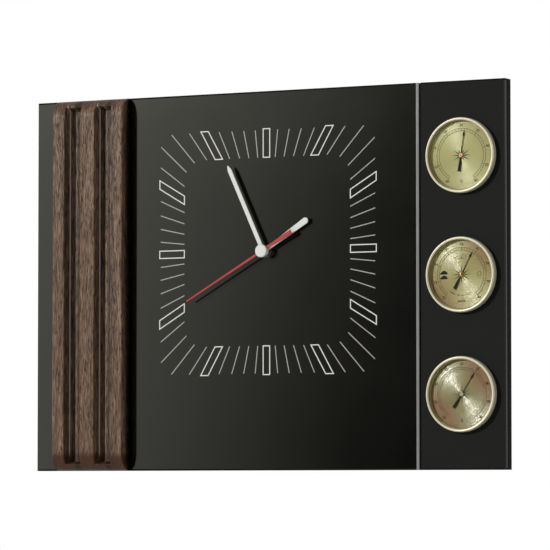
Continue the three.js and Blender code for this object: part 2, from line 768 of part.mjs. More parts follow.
/** Movement case, its cover, the battery and its contacts, and what clamps the movement. */
function buildMovementCase(knobAt) {
  const shell = cut(
    joined(
      sheet(corners(-caseX, caseBottom, caseX, movement.aboveArbor), caseBack, caseFront),
      rod(movement.neck, caseFront - sink, neckEnd, sides.small),
    ),
    sheet(corners(-insideX, gearFloor, insideX, insideTop), caseBack - overrun, caseInner),
    sheet(corners(-insideX, bayBottom, insideX, bayTop), caseBack - overrun, caseInner),
    rod(neckBore, caseInner - overrun, neckEnd + overrun, sides.small),
  );
  place(gears, 'movement_case', shell, paint.black);
  const coverHole = ring(knob.stem + gap, sides.arbor, ...knobAt);
  place(gears, 'movement_cover', sheet(
    corners(-insideX + gap, gearFloor + gap, insideX - gap, insideTop - gap),
    caseBack, coverFront, [coverHole],
  ), paint.black);

  place(gears, 'rubber_washer', sheet(
    ring(washer.outer, sides.medium), caseFront + gap, faceBack - gap,
    [ring(movement.neck + gap, sides.small)],
  ), paint.rubber);
  const hexagon = ring(nut.acrossFlats / Math.sqrt(3), 6);
  place(gears, 'hex_nut', sheet(
    hexagon, faceFront + gap, faceFront + gap + nut.thickness, [ring(movement.neck + gap, sides.small)],
  ), paint.steel);

  const bayY = (bayTop + bayBottom) / 2;
  const cellZ = caseInner - gap - battery.radius;
  const cellLeft = -insideX + contact.thickness + contact.dimple + gap * 2;
  place(gears, 'battery_cell', turned([
    [0, 0], [battery.radius, 0], [battery.radius, battery.length],
    [battery.button, battery.length], [battery.button, battery.length + battery.buttonLength],
    [0, battery.length + battery.buttonLength],
  ], sides.medium).rotateY(Math.PI / 2).translate(cellLeft, bayY, cellZ), paint.battery);
  [['negative', -1], ['positive', 1]].forEach(([pole, side]) => {
    const leafX = side * (insideX - gap - contact.thickness / 2);
    const dimpleRise = contact.thickness / 2 + contact.dimple;
    const dimple = turned([
      [0, 0], [contact.dimpleRadius, 0], [contact.dimpleRadius / 2, dimpleRise], [0, dimpleRise],
    ], sides.arbor).rotateY(-side * (Math.PI / 2)).translate(leafX, bayY, cellZ);
    const leaf = sheet(
      corners(
        leafX - contact.thickness / 2, bayY - contact.width / 2,
        leafX + contact.thickness / 2, bayY + contact.width / 2,
      ),
      cellZ - contact.height / 2, caseInner - gap,
    );
    const piece = pole === 'negative' ? joined(leaf, dimple) : leaf;
    place(gears, `battery_contact_${pole}`, piece, paint.zinc);
  });
}

/** Outline of a hand that points up, from half widths at the hub and along its length. */
function handOutline(hub, steps) {
  const [first] = steps;
  const join = Math.sqrt(hub * hub - first[0] * first[0]);
  const open = Math.asin(first[0] / hub);
  const count = 14;
  const arc = Array.from({ length: count + 1 }, (_, i) => {
    const angle = Math.PI / 2 + open + (i / count) * (Math.PI - open) * 2;
    return new THREE.Vector2(hub * Math.cos(angle), hub * Math.sin(angle));
  });
  const rising = steps.map(([half, at]) => new THREE.Vector2(half, Math.max(at, join)));
  const falling = steps.filter(([half]) => half > 0)
    .map(([half, at]) => new THREE.Vector2(-half, Math.max(at, join))).reverse();
  return [...arc, ...rising.slice(1), ...falling.slice(0, -1)];
}

/** The three hands at the time shown, and the cap over their centre. */
function buildHands() {
  const { hour, minute, second, cap } = hands;
  const turn = (mesh, degrees) => mesh.rotation.set(0, 0, -radians(degrees));
  turn(place(gears, 'hour_hand', sheet(
    handOutline(hour.hub, [
      [hour.hubWidth / 2, 0], [hour.tipWidth / 2, hour.length - hour.chamfer],
      [hour.tipWidth / 2 - hour.chamfer, hour.length],
    ]),
    hourHandBack, hourHandFront, [ring(hourOuter + gap, sides.small)],
  ), paint.white), shown.hourAngle);
  turn(place(gears, 'minute_hand', sheet(
    handOutline(minute.hub, [
      [minute.width / 2, 0], [minute.width / 2, minute.length - minute.point], [0, minute.length],
    ]),
    minuteHandBack, minuteHandFront, [ring(minuteOuter + gap, sides.small)],
  ), paint.white), shown.minuteAngle);
  const blade = sheet(handOutline(second.hub, [
    [second.width / 2, 0], [second.tipWidth / 2, second.length],
  ]), secondHandBack, secondHandFront);
  const tail = sheet(handOutline(second.hub, [
    [second.width / 2, 0], [second.tailWidth / 2, second.tail],
  ]), secondHandBack, secondHandFront).rotateZ(Math.PI);
  turn(place(gears, 'second_hand', cut(
    joined(blade, tail),
    rod(tube.pin + gap, secondHandBack - overrun, secondHandFront + overrun),
  ), paint.red), shown.secondAngle);
  const capBack = secondHandFront + gap;
  place(gears, 'hand_cap', turned([
    [0, capBack], [cap.radius, capBack], [cap.radius, capBack + cap.thickness - cap.edge],
    [cap.radius - cap.edge, capBack + cap.thickness], [0, capBack + cap.thickness],
  ], sides.medium), paint.white);
}

// Depths shared by the gauges
const bezelFront = faceFront + gauge.rise;
const lensFront = bezelFront - gauge.lipThickness - gap;
const lensBack = lensFront - gauge.lensThickness;
const rimFront = lensBack - gap;
const gaugeDialFront = rimFront - gauge.dialRecess;
const gaugeDialBack = gaugeDialFront - gauge.dialThickness;
const ledgeFront = gaugeDialBack - gap;
const caseFloor = gauge.caseBack + gauge.floorThickness;
const bossTop = caseFloor + gauge.bossHeight;
const needleBack = gaugeDialFront + needle.lift;
const needleFront = needleBack + needle.thickness;
const upperRadius = gaugeBody - gauge.wall;
const lowerRadius = gaugeBody - gauge.lowerWall;
const gaugeDialRadius = upperRadius - gap;

/** Raised scale marks of a gauge, evenly spaced between its two end angles in degrees. */
function gaugeMarks(endAngle) {
  const back = gaugeDialFront - sink;
  const front = gaugeDialFront + scale.print;
  const bar = (angle, inner, outer, stroke) => sheet(
    corners(-stroke / 2, inner, stroke / 2, outer), back, front,
  ).rotateZ(-radians(angle));
  const step = (endAngle * 2) / (scale.marks - 1);
  const outer = gaugeDialRadius - scale.edgeInset;
  return Array.from({ length: scale.marks }, (_, i) => (
    bar(step * i - endAngle, outer - scale.length, outer, scale.stroke)));
}

/** Pointer with its hub and arbor, pointing up before it is turned to its reading. */
function pointer(arborBack, extra = []) {
  const { width, head, headLength, tail, tailWidth, thickness, hub, hubHeight, arborRadius } = needle;
  const length = gaugeDialRadius - needle.tipInset;
  const half = [
    [width / 2, length - headLength], [head / 2, length - headLength], [0, length],
  ];
  const outline = [
    ...half.map(([x, y]) => [x, y]),
    ...half.slice(0, -1).reverse().map(([x, y]) => [-x, y]),
    [-width / 2, 0], [-tailWidth / 2, -tail], [tailWidth / 2, -tail], [width / 2, 0],
  ].map(([x, y]) => new THREE.Vector2(x, y));
  return joined(
    sheet(outline, needleBack, needleBack + thickness),
    rod(hub, needleBack - sink, needleFront + hubHeight - sink, sides.small),
    rod(arborRadius, arborBack, needleBack),
    ...extra,
  );
}

/** Flat spiral strip between two radii. */
function spiral(back) {
  const { inner, outer, turns, strip: thickness, height } = coilSpring;
  const perTurn = 20;
  const count = turns * perTurn;
  const side = (shift) => Array.from({ length: count + 1 }, (_, i) => {
    const angle = (i / perTurn) * Math.PI * 2;
    const radius = inner + ((outer - inner) * i) / count + shift;
    return new THREE.Vector2(radius * Math.cos(angle), radius * Math.sin(angle));
  });
  return sheet([...side(0), ...side(thickness).reverse()], back, back + height);
}

/** Case, bezel, lens and printed dial that every gauge has; extras are joined to the case. */
function buildGaugeBody(name, row, extras, floorHoles = []) {
  const group = new THREE.Group();
  group.position.set(gaugeX, gaugeMidY + row * gauge.spacing, 0);
  clock.add(group);
  const shell = turned([
    [0, gauge.caseBack], [gaugeBody, gauge.caseBack], [gaugeBody, rimFront],
    [upperRadius, rimFront], [upperRadius, ledgeFront], [lowerRadius, ledgeFront],
    [lowerRadius, caseFloor], [0, caseFloor],
  ], sides.large);
  const body = extras.length ? joined(shell, ...extras) : shell;
  place(group, `${name}_case`, floorHoles.length ? cut(body, ...floorHoles) : body, paint.black);
  const skirtInner = gauge.outer - gauge.skirt;
  const lipInner = gauge.outer - gauge.lipWidth;
  const bezelBack = faceFront + gap;
  place(group, `${name}_bezel`, turned([
    [skirtInner, bezelBack], [gauge.outer, bezelBack], [gauge.outer, bezelFront - gauge.bezelEdge],
    [gauge.outer - gauge.bezelEdge, bezelFront], [lipInner, bezelFront - gauge.lipThickness / 2],
    [lipInner, lensFront + gap], [skirtInner, lensFront + gap],
  ], sides.large), paint.champagne);
  place(group, `${name}_lens`, rod(gaugeBody, lensBack, lensFront, sides.large), paint.glass);
  const disc = sheet(
    ring(gaugeDialRadius, sides.large), gaugeDialBack, gaugeDialFront,
    [ring(needle.arborRadius + gap * 2, sides.small)],
  );
  place(group, `${name}_dial`, joined(disc, ...gaugeMarks(scaleEndAngle[name])), paint.dial);
  return group;
}

/** Thermometer and hygrometer: a coiled strip turns the pointer. */
function buildCoilGauge(name, row) {
  const coilBack = bossTop + gap;
  const studX = -(coilSpring.outer + coilSpring.strip + gap + coilSpring.stud);
  const extras = [
    rod(gauge.bossRadius, caseFloor - sink, bossTop, sides.small),
    rod(coilSpring.stud, caseFloor - sink, coilBack + coilSpring.height, sides.arbor, studX, 0),
  ];
  const group = buildGaugeBody(name, row, extras);
  place(group, `${name}_coil`, spiral(coilBack), paint.brass);
  place(group, `${name}_pointer`, pointer(bossTop + gap), paint.black)
    .rotation.set(0, 0, -radians(readingAngle[name]));
}

/** Barometer: a sealed capsule, its bridge, and a toothed rocker that turns the pointer. */
function buildBarometer() {
  const name = 'barometer';
  const hole = adjuster.head + gap;
  const group = buildGaugeBody(name, 0, [], [
    rod(hole, gauge.caseBack - overrun, caseFloor + overrun, sides.small),
  ]);
  const screwBack = gauge.caseBack + gap;
  const shankFront = caseFloor + capsule.neck;
  place(group, `${name}_adjusting_screw`, cut(
    turned([
      [0, screwBack], [adjuster.head, screwBack], [adjuster.head, screwBack + adjuster.headDepth],
      [adjuster.shank, screwBack + adjuster.headDepth], [adjuster.shank, shankFront], [0, shankFront],
    ], sides.small),
    sheet(
      corners(-adjuster.head, -adjuster.slot / 2, adjuster.head, adjuster.slot / 2),
      screwBack - overrun, screwBack + adjuster.slotDepth,
    ),
  ), paint.brass);

  const capsuleBack = caseFloor + gap;
  const { radius, thickness, ridge, post, postHeight } = capsule;
  const waves = 2;
  const socket = adjuster.shank + gap;
  const ripple = (radius - post) / (waves * 2);
  const wave = Array.from({ length: waves * 2 - 1 }, (_, i) => [
    radius - (i + 1) * ripple, capsuleBack + thickness - (i % 2 ? 0 : ridge),
  ]);
  const capsuleFront = capsuleBack + thickness + postHeight;
  place(group, `${name}_capsule`, turned([
    [0, shankFront + gap], [socket, shankFront + gap], [socket, capsuleBack],
    [radius - ridge, capsuleBack], [radius, capsuleBack + ridge],
    [radius, capsuleBack + thickness - ridge], [radius - ridge, capsuleBack + thickness], ...wave,
    [post, capsuleBack + thickness], [post, capsuleFront], [0, capsuleFront],
  ], sides.medium), paint.copper);

  const bridgeBack = capsuleFront + gap * 2;
  const bridgeFront = bridgeBack + bridge.thickness;
  const half = radius + bridge.capsuleClear + bridge.foot;
  const pitch = ((rocker.teeth + rocker.pinionTeeth) * rocker.module) / 2;
  const pivotX = -pitch;
  const feet = [-1, 1].map((side) => {
    const outer = side * half;
    const inner = side * (half - bridge.foot);
    return sheet(
      corners(Math.min(outer, inner), -bridge.width / 2, Math.max(outer, inner), bridge.width / 2),
      caseFloor + gap, bridgeFront,
    );
  });
  place(group, `${name}_bridge`, cut(
    joined(
      sheet(corners(-half, -bridge.width / 2, half, bridge.width / 2), bridgeBack, bridgeFront),
      ...feet,
    ),
    rod(needle.arborRadius + gap, bridgeBack - overrun, bridgeFront + overrun),
    rod(rocker.pin + gap, bridgeBack - overrun, bridgeFront + overrun, sides.arbor, pivotX, 0),
  ), paint.brass);

  const rockerBack = bridgeFront + gear.space;
  const rockerLayer = { back: rockerBack, front: rockerBack + rocker.thickness };
  const pinionPhase = Math.PI + radians(readingAngle[name]);
  const pinion = wheel(rocker.pinionTeeth, rocker.module, pinionPhase, wide(rockerLayer));
  place(group, `${name}_pointer`, pointer(bridgeBack + gap, [pinion]), paint.black)
    .rotation.set(0, 0, -radians(readingAngle[name]));

  // A tooth gap of the sector faces the pinion's centred tooth, whatever the reading
  const step = (Math.PI * 2) / rocker.teeth;
  const lean = (radians(readingAngle[name]) * rocker.pinionTeeth) / rocker.teeth;
  const first = Math.round(lean / step - rocker.spread / 2);
  const teeth = teethPoints(rocker.teeth, rocker.module, step / 2, first, rocker.spread);
  const hubRing = ring(rocker.arm / 2, sides.small).filter((point) => point.x < 0);
  place(group, `${name}_rocker`, joined(
    sheet([...teeth, ...hubRing], rockerLayer.back, rockerLayer.front),
    rod(rocker.pin, bridgeBack + gap, rockerLayer.back + sink),
  ), paint.brass).position.set(pivotX, 0, 0);
}

buildPanel();
buildMoulding();
buildRear();
const { rotorAt, knobAt } = buildTrain();
buildMotor(rotorAt);
buildMovementCase(knobAt);
buildHands();
buildCoilGauge('thermometer', 1);
buildBarometer();
buildCoilGauge('hygrometer', -1);

// y of the drawing becomes the world's up, and z its front
clock.rotation.set(Math.PI / 2, 0, 0);
export default clock;
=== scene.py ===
"""Looks of a wall clock with a fluted walnut moulding and three round weather gauges.

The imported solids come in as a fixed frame. Each sub-assembly below reads its place from
them, builds its finer pieces with bmesh operators and gives every surface its finish.
"""

import logging
import math
from collections.abc import Callable, Iterable, Sequence
from dataclasses import dataclass
from enum import Enum

import bmesh
import bpy
from mathutils import Matrix, Vector


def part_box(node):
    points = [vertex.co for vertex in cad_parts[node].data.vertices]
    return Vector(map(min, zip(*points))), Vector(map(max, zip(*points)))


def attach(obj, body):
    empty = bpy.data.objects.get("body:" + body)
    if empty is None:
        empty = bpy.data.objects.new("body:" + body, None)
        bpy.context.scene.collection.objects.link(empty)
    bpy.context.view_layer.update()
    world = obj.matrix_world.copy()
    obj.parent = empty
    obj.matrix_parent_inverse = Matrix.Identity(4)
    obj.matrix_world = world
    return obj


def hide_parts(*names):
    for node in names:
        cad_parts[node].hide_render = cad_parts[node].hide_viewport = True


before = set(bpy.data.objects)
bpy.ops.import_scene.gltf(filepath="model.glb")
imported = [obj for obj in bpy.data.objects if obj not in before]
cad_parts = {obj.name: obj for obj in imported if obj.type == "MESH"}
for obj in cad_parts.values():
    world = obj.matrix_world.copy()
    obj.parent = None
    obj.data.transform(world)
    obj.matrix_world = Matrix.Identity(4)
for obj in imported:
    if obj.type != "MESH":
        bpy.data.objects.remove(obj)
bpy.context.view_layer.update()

LOG = logging.getLogger("weather_clock")
MM = 0.001
TURN = 2 * math.pi

# How near two places count as one, how near vertices are joined, and what still counts as flat
NEAR = 0.001 * MM
WELD = 0.00005 * MM
FLAT = math.radians(0.5)

# Detail of a noise, from soft to sharp
SOFT, CRISP, SHARP, SHARPEST = 2.0, 3.0, 4.0, 5.0

Point = tuple[float, float]
Colour = tuple[float, float, float]


def paint(red: int, green: int, blue: int) -> Colour:
    """Turns a screen colour into the linear one that shaders use.

    Args:
        red: Red, 0 to 255.
        green: Green, 0 to 255.
        blue: Blue, 0 to 255.

    Returns:
        The same colour in linear light.
    """
    shares = (value / 255 for value in (red, green, blue))
    return tuple(((s + 0.055) / 1.055) ** 2.4 if s > 0.04045 else s / 12.92 for s in shares)


def tinted(colour: Colour, share: float) -> Colour:
    """A colour made lighter or darker by a share."""
    return tuple(min(c * share, 1.0) for c in colour)


# Shader maths


class Sock:
    """One output of a node, on which Python's operators add Math nodes."""

    def __init__(self, shader: "Shader", socket: bpy.types.NodeSocket) -> None:
        """Keeps the shader and the socket that this value comes from."""
        self.shader = shader
        self.socket = socket

    def _math(self, operation: str, *values: "Sock | float") -> "Sock":
        """One Math node on some values."""
        return self.shader.node("ShaderNodeMath", {"operation": operation},
                                dict(enumerate(values)))

    def __add__(self, other: "Sock | float") -> "Sock":
        """Sum."""
        return self._math("ADD", self, other)

    def __sub__(self, other: "Sock | float") -> "Sock":
        """Difference."""
        return self._math("SUBTRACT", self, other)

    def __rsub__(self, other: "Sock | float") -> "Sock":
        """Difference from a number."""
        return self._math("SUBTRACT", other, self)

    def __mul__(self, other: "Sock | float") -> "Sock":
        """Product."""
        return self._math("MULTIPLY", self, other)

    def __truediv__(self, other: "Sock | float") -> "Sock":
        """Quotient."""
        return self._math("DIVIDE", self, other)

    def __pow__(self, other: "Sock | float") -> "Sock":
        """Power."""
        return self._math("POWER", self, other)

    def __gt__(self, other: "Sock | float") -> "Sock":
        """1 where this value is the larger, and 0 elsewhere."""
        return self._math("GREATER_THAN", self, other)

    __radd__ = __add__
    __rmul__ = __mul__

    def clamped(self) -> "Sock":
        """The value kept between 0 and 1."""
        return self.shader.node("ShaderNodeClamp", {}, {"Value": self})


class Shader:
    """A material or world under construction."""

    def __init__(self, tree: bpy.types.NodeTree) -> None:
        """Starts from an empty tree.

        Args:
            tree: The node tree that this shader fills.
        """
        self.tree = tree
        tree.nodes.clear()

    def node(self, kind: str, settings: dict | None = None, inputs: dict | None = None,
             output: int | str = 0) -> Sock | None:
        """Adds one node.

        Args:
            kind: The node's type.
            settings: Properties set first; "stops" holds a ramp's places and colours.
            inputs: Values or links by the socket's name or number.
            output: Which output to hand back.

        Returns:
            The chosen output, or None where the node has none.
        """
        made = self.tree.nodes.new(kind)
        for key, value in (settings or {}).items():
            if key == "stops":
                self._stops(made.color_ramp, value)
            else:
                setattr(made, key, value)
        for key, value in (inputs or {}).items():
            if isinstance(value, Sock):
                self.tree.links.new(value.socket, made.inputs[key])
            else:
                wanted = made.inputs[key]
                is_colour = wanted.type == "RGBA" and len(value) == 3
                wanted.default_value = (*value, 1.0) if is_colour else value
        return Sock(self, made.outputs[output]) if made.outputs else None

    @staticmethod
    def _stops(ramp: bpy.types.ColorRamp, stops: Sequence[tuple[float, Colour]]) -> None:
        """Sets a colour ramp's stops.

        Args:
            ramp: The ramp.
            stops: Places and their colours.
        """
        while len(ramp.elements) < len(stops):
            ramp.elements.new(1.0)
        for element, (place, colour) in zip(ramp.elements, stops):
            element.position = place
            element.color = (*colour, 1.0)

    def coords(self, centre: Vector | None = None, stretch: Vector | None = None) -> Sock:
        """Object coordinates, centred on a point and stretched where asked.

        Args:
            centre: The pattern's centre, in metres.
            stretch: Factors along the three axes.

        Returns:
            The coordinates as a vector.
        """
        at = self.node("ShaderNodeTexCoord", output="Object")
        if centre is not None:
            at = self.vector("SUBTRACT", at, centre)
        if stretch is not None:
            at = self.vector("MULTIPLY", at, stretch)
        return at

    def along(self, axis: str) -> Sock:
        """One of the object coordinates."""
        return self.node("ShaderNodeSeparateXYZ", {}, {"Vector": self.coords()}, output=axis)

    def vector(self, operation: str, *values: "Sock | Vector", output: int | str = 0) -> Sock:
        """One Vector Math node on some vectors."""
        return self.node("ShaderNodeVectorMath", {"operation": operation},
                         dict(enumerate(values)), output)

    def scaled(self, vector: Sock, factor: "Sock | float") -> Sock:
        """A vector times a number."""
        return self.node("ShaderNodeVectorMath", {"operation": "SCALE"},
                         {0: vector, "Scale": factor})

    def noise(self, at: Sock, scale: float, detail: float = SOFT, distortion: float = 0.0) -> Sock:
        """Noise between 0 and 1; scale is in waves for each metre."""
        return self.node("ShaderNodeTexNoise", {"noise_dimensions": "3D"}, {
            "Vector": at, "Scale": scale, "Detail": detail, "Distortion": distortion})

    def ramp(self, value: Sock, stops: Sequence[tuple[float, Colour]]) -> Sock:
        """A colour picked by a value from stops."""
        return self.node("ShaderNodeValToRGB", {"stops": stops}, {"Fac": value})

    def blend(self, factor: "Sock | float", first: "Sock | Colour",
              second: "Sock | Colour", mode: str = "MIX") -> Sock:
        """Mixes two colours by a factor."""
        return self.node("ShaderNodeMix", {"data_type": "RGBA", "blend_type": mode},
                         {0: factor, 6: first, 7: second}, output=2)

    def bump(self, height: Sock, depth: float) -> Sock:
        """A normal from a height; depth is in metres."""
        return self.node("ShaderNodeBump", {}, {"Height": height, "Strength": 1.0,
                                                "Distance": depth})

    def surface(self, inputs: dict) -> None:
        """Ends a material with a Principled shader."""
        shader = self.node("ShaderNodeBsdfPrincipled", {}, inputs)
        self.node("ShaderNodeOutputMaterial", {}, {"Surface": shader})


# Finishes


@dataclass(frozen=True)
class Finish:
    """A surface finish; each kind draws its own nodes.

    The shades are the darkest and the lightest share of the colour, and the gloss change is
    how far the roughness wanders.
    """

    name: str
    colour: Colour
    roughness: float
    shades: Point = (0.9, 1.1)
    gloss_change: float = 0.1

    def draw(self, mat: Shader) -> None:
        """Draws the nodes of this finish.

        Args:
            mat: The shader that is filled.
        """
        raise NotImplementedError

    def mottled(self, mat: Shader, pattern: Sock) -> Sock:
        """The colour, darker and lighter where a pattern says."""
        dark, light = (tinted(self.colour, share) for share in self.shades)
        return mat.blend(pattern, dark, light)

    def rough(self, pattern: Sock) -> Sock:
        """The roughness, which wanders with a pattern."""
        return self.roughness + (pattern - 0.5) * self.gloss_change

    def material(self) -> bpy.types.Material:
        """Makes the material once.

        Returns:
            The material of this finish.
        """
        full_name = f"finish_{self.name}"
        known = bpy.data.materials.get(full_name)
        if known is not None:
            return known
        made = bpy.data.materials.new(full_name)
        made.use_nodes = True
        self.draw(Shader(made.node_tree))
        return made


@dataclass(frozen=True)
class Satin(Finish):
    """Satin coat on a flat sheet: an even gloss, a little cloudy from close by."""

    shades: Point = (0.85, 1.15)
    gloss_change: float = 0.03
    specular: float = 0.5
    tint: Colour = (1.0, 1.0, 1.0)
    clouds: float = 14.0
    specks: float = 1800.0
    peel: float = 0.002 * MM

    def draw(self, mat: Shader) -> None:
        """Draws a cloudy gloss over a nearly even colour.

        Args:
            mat: The shader that is filled.
        """
        at = mat.coords()
        cloud = mat.noise(at, self.clouds, CRISP)
        mat.surface({
            "Base Color": self.mottled(mat, cloud),
            "Roughness": self.rough(cloud),
            "Specular IOR Level": self.specular,
            "Specular Tint": self.tint,
            "Normal": mat.bump(mat.noise(at, self.specks), self.peel)})


@dataclass(frozen=True)
class Grained(Finish):
    """Moulded plastic, rubber or matt coat with a fine pebbled skin."""

    shades: Point = (0.8, 1.2)
    gloss_change: float = 0.12
    grain: float = 1600.0
    depth: float = 0.03 * MM
    specular: float = 0.4
    clouds: float = 22.0

    def draw(self, mat: Shader) -> None:
        """Draws a pebbled skin that scatters the gloss.

        Args:
            mat: The shader that is filled.
        """
        at = mat.coords()
        pebbles = mat.noise(at, self.grain, CRISP)
        mat.surface({
            "Base Color": self.mottled(mat, mat.noise(at, self.clouds, CRISP)),
            "Roughness": self.rough(pebbles),
            "Specular IOR Level": self.specular,
            "Normal": mat.bump(pebbles, self.depth)})


@dataclass(frozen=True)
class Paint(Finish):
    """Smooth paint or print with a faint unevenness."""

    shades: Point = (0.93, 1.05)
    specular: float = 0.5
    clouds: float = 260.0
    specks: float = 900.0
    peel: float = 0.006 * MM

    def draw(self, mat: Shader) -> None:
        """Draws a smooth coat.

        Args:
            mat: The shader that is filled.
        """
        at = mat.coords()
        cloud = mat.noise(at, self.clouds, CRISP)
        mat.surface({
            "Base Color": self.mottled(mat, cloud),
            "Roughness": self.rough(cloud),
            "Specular IOR Level": self.specular,
            "Normal": mat.bump(mat.noise(at, self.specks), self.peel)})


@dataclass(frozen=True)
class Brushed(Finish):
    """Metal with fine lines along one direction."""

    shades: Point = (0.78, 1.12)
    gloss_change: float = 0.25
    stretch: tuple[float, float, float] = (1.0, 1.0, 0.02)
    lines: float = 3200.0
    line_share: float = 0.6
    clouds: float = 60.0
    depth: float = 0.008 * MM
    metallic: float = 1.0

    def draw(self, mat: Shader) -> None:
        """Draws lines that run along the stretched axis.

        Args:
            mat: The shader that is filled.
        """
        lines = mat.noise(mat.coords(stretch=Vector(self.stretch)), self.lines, CRISP)
        cloud = mat.noise(mat.coords(), self.clouds, SHARP)
        shade = (lines * self.line_share + cloud * (1 - self.line_share)).clamped()
        mat.surface({
            "Base Color": self.mottled(mat, shade),
            "Metallic": self.metallic,
            "Roughness": self.rough(lines).clamped(),
            "Normal": mat.bump(lines, self.depth)})


@dataclass(frozen=True)
class Grain:
    """One layer of wood grain: noise drawn out along the wood."""

    stretch: tuple[float, float, float]
    scale: float
    detail: float = SOFT
    distortion: float = 0.0

    def sample(self, mat: Shader, sway: Sock | None = None) -> Sock:
        """Draws the layer.

        Args:
            mat: The shader that is filled.
            sway: How far the grain is pushed aside, as a vector.

        Returns:
            The layer's noise, 0 to 1.
        """
        at = mat.coords(stretch=Vector(self.stretch))
        if sway is not None:
            at = mat.vector("ADD", at, sway)
        return mat.noise(at, self.scale, self.detail, self.distortion)


@dataclass(frozen=True)
class Walnut(Finish):
    """Stained walnut with upright grain: streaks, short open pores and a satin lacquer.

    Painted highlight lines are paler and painted shade bands darker; both run along the grain at a
    place across. Both rounded ends are darkened with painted shade.
    """

    light: Colour = paint(122, 100, 81)
    dark: Colour = paint(38, 26, 19)
    # Colour of the painted shade on both rounded ends
    stain: Colour = paint(54, 31, 19)
    # Pale grey of the painted highlight lines, which stand in for the gloss on the ledges
    worn_colour: Colour = paint(156, 150, 150)
    drift: Grain = Grain((1.0, 0.3, 0.25), 32.0)
    streaks: Grain = Grain((1.0, 0.25, 0.03), 130.0)
    fibres: Grain = Grain((1.0, 0.4, 0.09), 800.0, SHARPEST, 0.4)
    pores: Grain = Grain((1.0, 0.5, 0.14), 1100.0, CRISP)
    sway: float = 8 * MM
    streak_share: float = 0.3
    pore_level: float = 0.54
    pore_contrast: float = 9.0
    pore_strength: float = 0.8
    pore_roughness: float = 0.25
    fibre_gloss: float = 0.3
    fibre_height: float = 0.5
    relief: float = 0.12 * MM
    # Painted highlight lines along the ledges: their places, spread and strength
    worn_lines: tuple[float, ...] = ()
    worn_reach: float = 0.95 * MM
    worn_strength: float = 0.8
    # Painted shade: dark bands on each groove's floor at the foot of the next rib
    stained_bands: tuple[float, ...] = ()
    band_reach: float = 4.4 * MM
    band_strength: float = 0.9
    band_share: float = 0.7
    # Painted shade on the rounded ends: where the foot and the head are, how far the darkening
    # reaches and how dark it gets
    foot: float = 0.0
    foot_reach: float = 19 * MM
    foot_strength: float = 0.85
    head: float = 0.0
    head_reach: float = 9 * MM
    head_strength: float = 0.45
    end_blur: float = 6 * MM
    specular: float = 0.14

    def line_mask(self, x: Sock, places: Sequence[float], reach: float) -> Sock | float:
        """A mask that is 1 on lines along the grain.

        Args:
            x: Place across the grain.
            places: Where the lines run.
            reach: How far each spreads.

        Returns:
            The mask, or 0 without lines.
        """
        total = 0.0
        for place in places:
            away = x - place
            total = (1 - away * away * (1 / reach ** 2)).clamped() + total
        return total

    def wood(self, mat: Shader, streaks: Sock, fibres: Sock) -> Sock:
        """The bare wood's colour, from its dark late wood to its light early wood.

        Args:
            mat: The shader that is filled.
            streaks: The broad grain.
            fibres: The fine grain.

        Returns:
            The colour.
        """
        shade = (streaks * self.streak_share + fibres * (1 - self.streak_share)).clamped()
        return mat.ramp(shade, [
            (0.36, tinted(self.dark, 1.6)), (0.45, tinted(self.colour, 0.72)),
            (0.52, self.colour), (0.60, tinted(self.light, 0.85)), (0.70, self.light)])

    def draw(self, mat: Shader) -> None:
        """Draws the grain and its pores, the painted shade at both ends and in the bands, and the
        painted highlight lines.

        Args:
            mat: The shader that is filled.
        """
        drift = self.drift.sample(mat)
        sway = mat.scaled(mat.node("ShaderNodeCombineXYZ", {}, {"X": drift, "Y": drift}), self.sway)
        streaks = self.streaks.sample(mat, sway)
        fibres = self.fibres.sample(mat, sway)
        pores = self.pores.sample(mat, sway)
        pit = ((pores - self.pore_level) * self.pore_contrast).clamped()
        colour = mat.blend(pit * self.pore_strength, self.wood(mat, streaks, fibres), self.dark)
        x, z = mat.along("X"), mat.along("Z")
        # Painted shade: both rounded ends darken towards the end, the foot more than the head
        at_foot = ((self.foot + self.foot_reach - z) * (1 / self.end_blur)).clamped()
        at_head = ((z - (self.head - self.head_reach)) * (1 / self.end_blur)).clamped()
        ends = at_foot * self.foot_strength + at_head * self.head_strength
        colour = mat.blend(ends, colour, self.stain)
        # Painted shade: darker bands at the foot of each next rib
        bands = self.line_mask(x, self.stained_bands, self.band_reach) * self.band_strength
        colour = mat.blend(bands, colour, tinted(self.dark, self.band_share))
        # Painted highlight: pale grey lines along the ledges, kept off the ends
        highlights = self.line_mask(x, self.worn_lines, self.worn_reach) * self.worn_strength
        kept = 1 - (at_foot + at_head).clamped()
        gloss = self.roughness + pit * self.pore_roughness - (fibres - 0.5) * self.fibre_gloss
        mat.surface({
            "Base Color": mat.blend(highlights * kept, colour, self.worn_colour),
            "Roughness": gloss.clamped(),
            "Specular IOR Level": self.specular,
            "Normal": mat.bump(fibres * self.fibre_height - pit * self.pore_strength, self.relief)})


@dataclass(frozen=True)
class Plywood(Finish):
    """Raw softwood or plywood with its grain across."""

    fibres: Grain = Grain((0.03, 1.0, 1.0), 520.0, SHARPEST, 0.5)
    rings: Grain = Grain((0.03, 1.0, 1.0), 90.0, SOFT, 0.8)
    ply_scale: float = 180.0
    ply_waviness: float = 0.6
    ply_strength: float = 0.25
    ply_share: float = 0.5
    relief: float = 0.1 * MM

    def draw(self, mat: Shader) -> None:
        """Draws pale grain along the battens.

        Args:
            mat: The shader that is filled.
        """
        fibres = self.fibres.sample(mat)
        rings = self.rings.sample(mat)
        plies = mat.node("ShaderNodeTexWave", {"bands_direction": "Y"}, {
            "Vector": mat.coords(), "Scale": self.ply_scale, "Distortion": self.ply_waviness,
            "Detail": 1.0}, output="Fac")
        wood = mat.ramp((fibres * 0.5 + rings * 0.5).clamped(), [
            (0.32, tinted(self.colour, 0.55)), (0.5, self.colour), (0.68, tinted(self.colour, 1.35))])
        mat.surface({
            "Base Color": mat.blend(plies * self.ply_strength, wood,
                                    tinted(self.colour, self.ply_share)),
            "Roughness": self.roughness,
            "Normal": mat.bump(fibres, self.relief)})


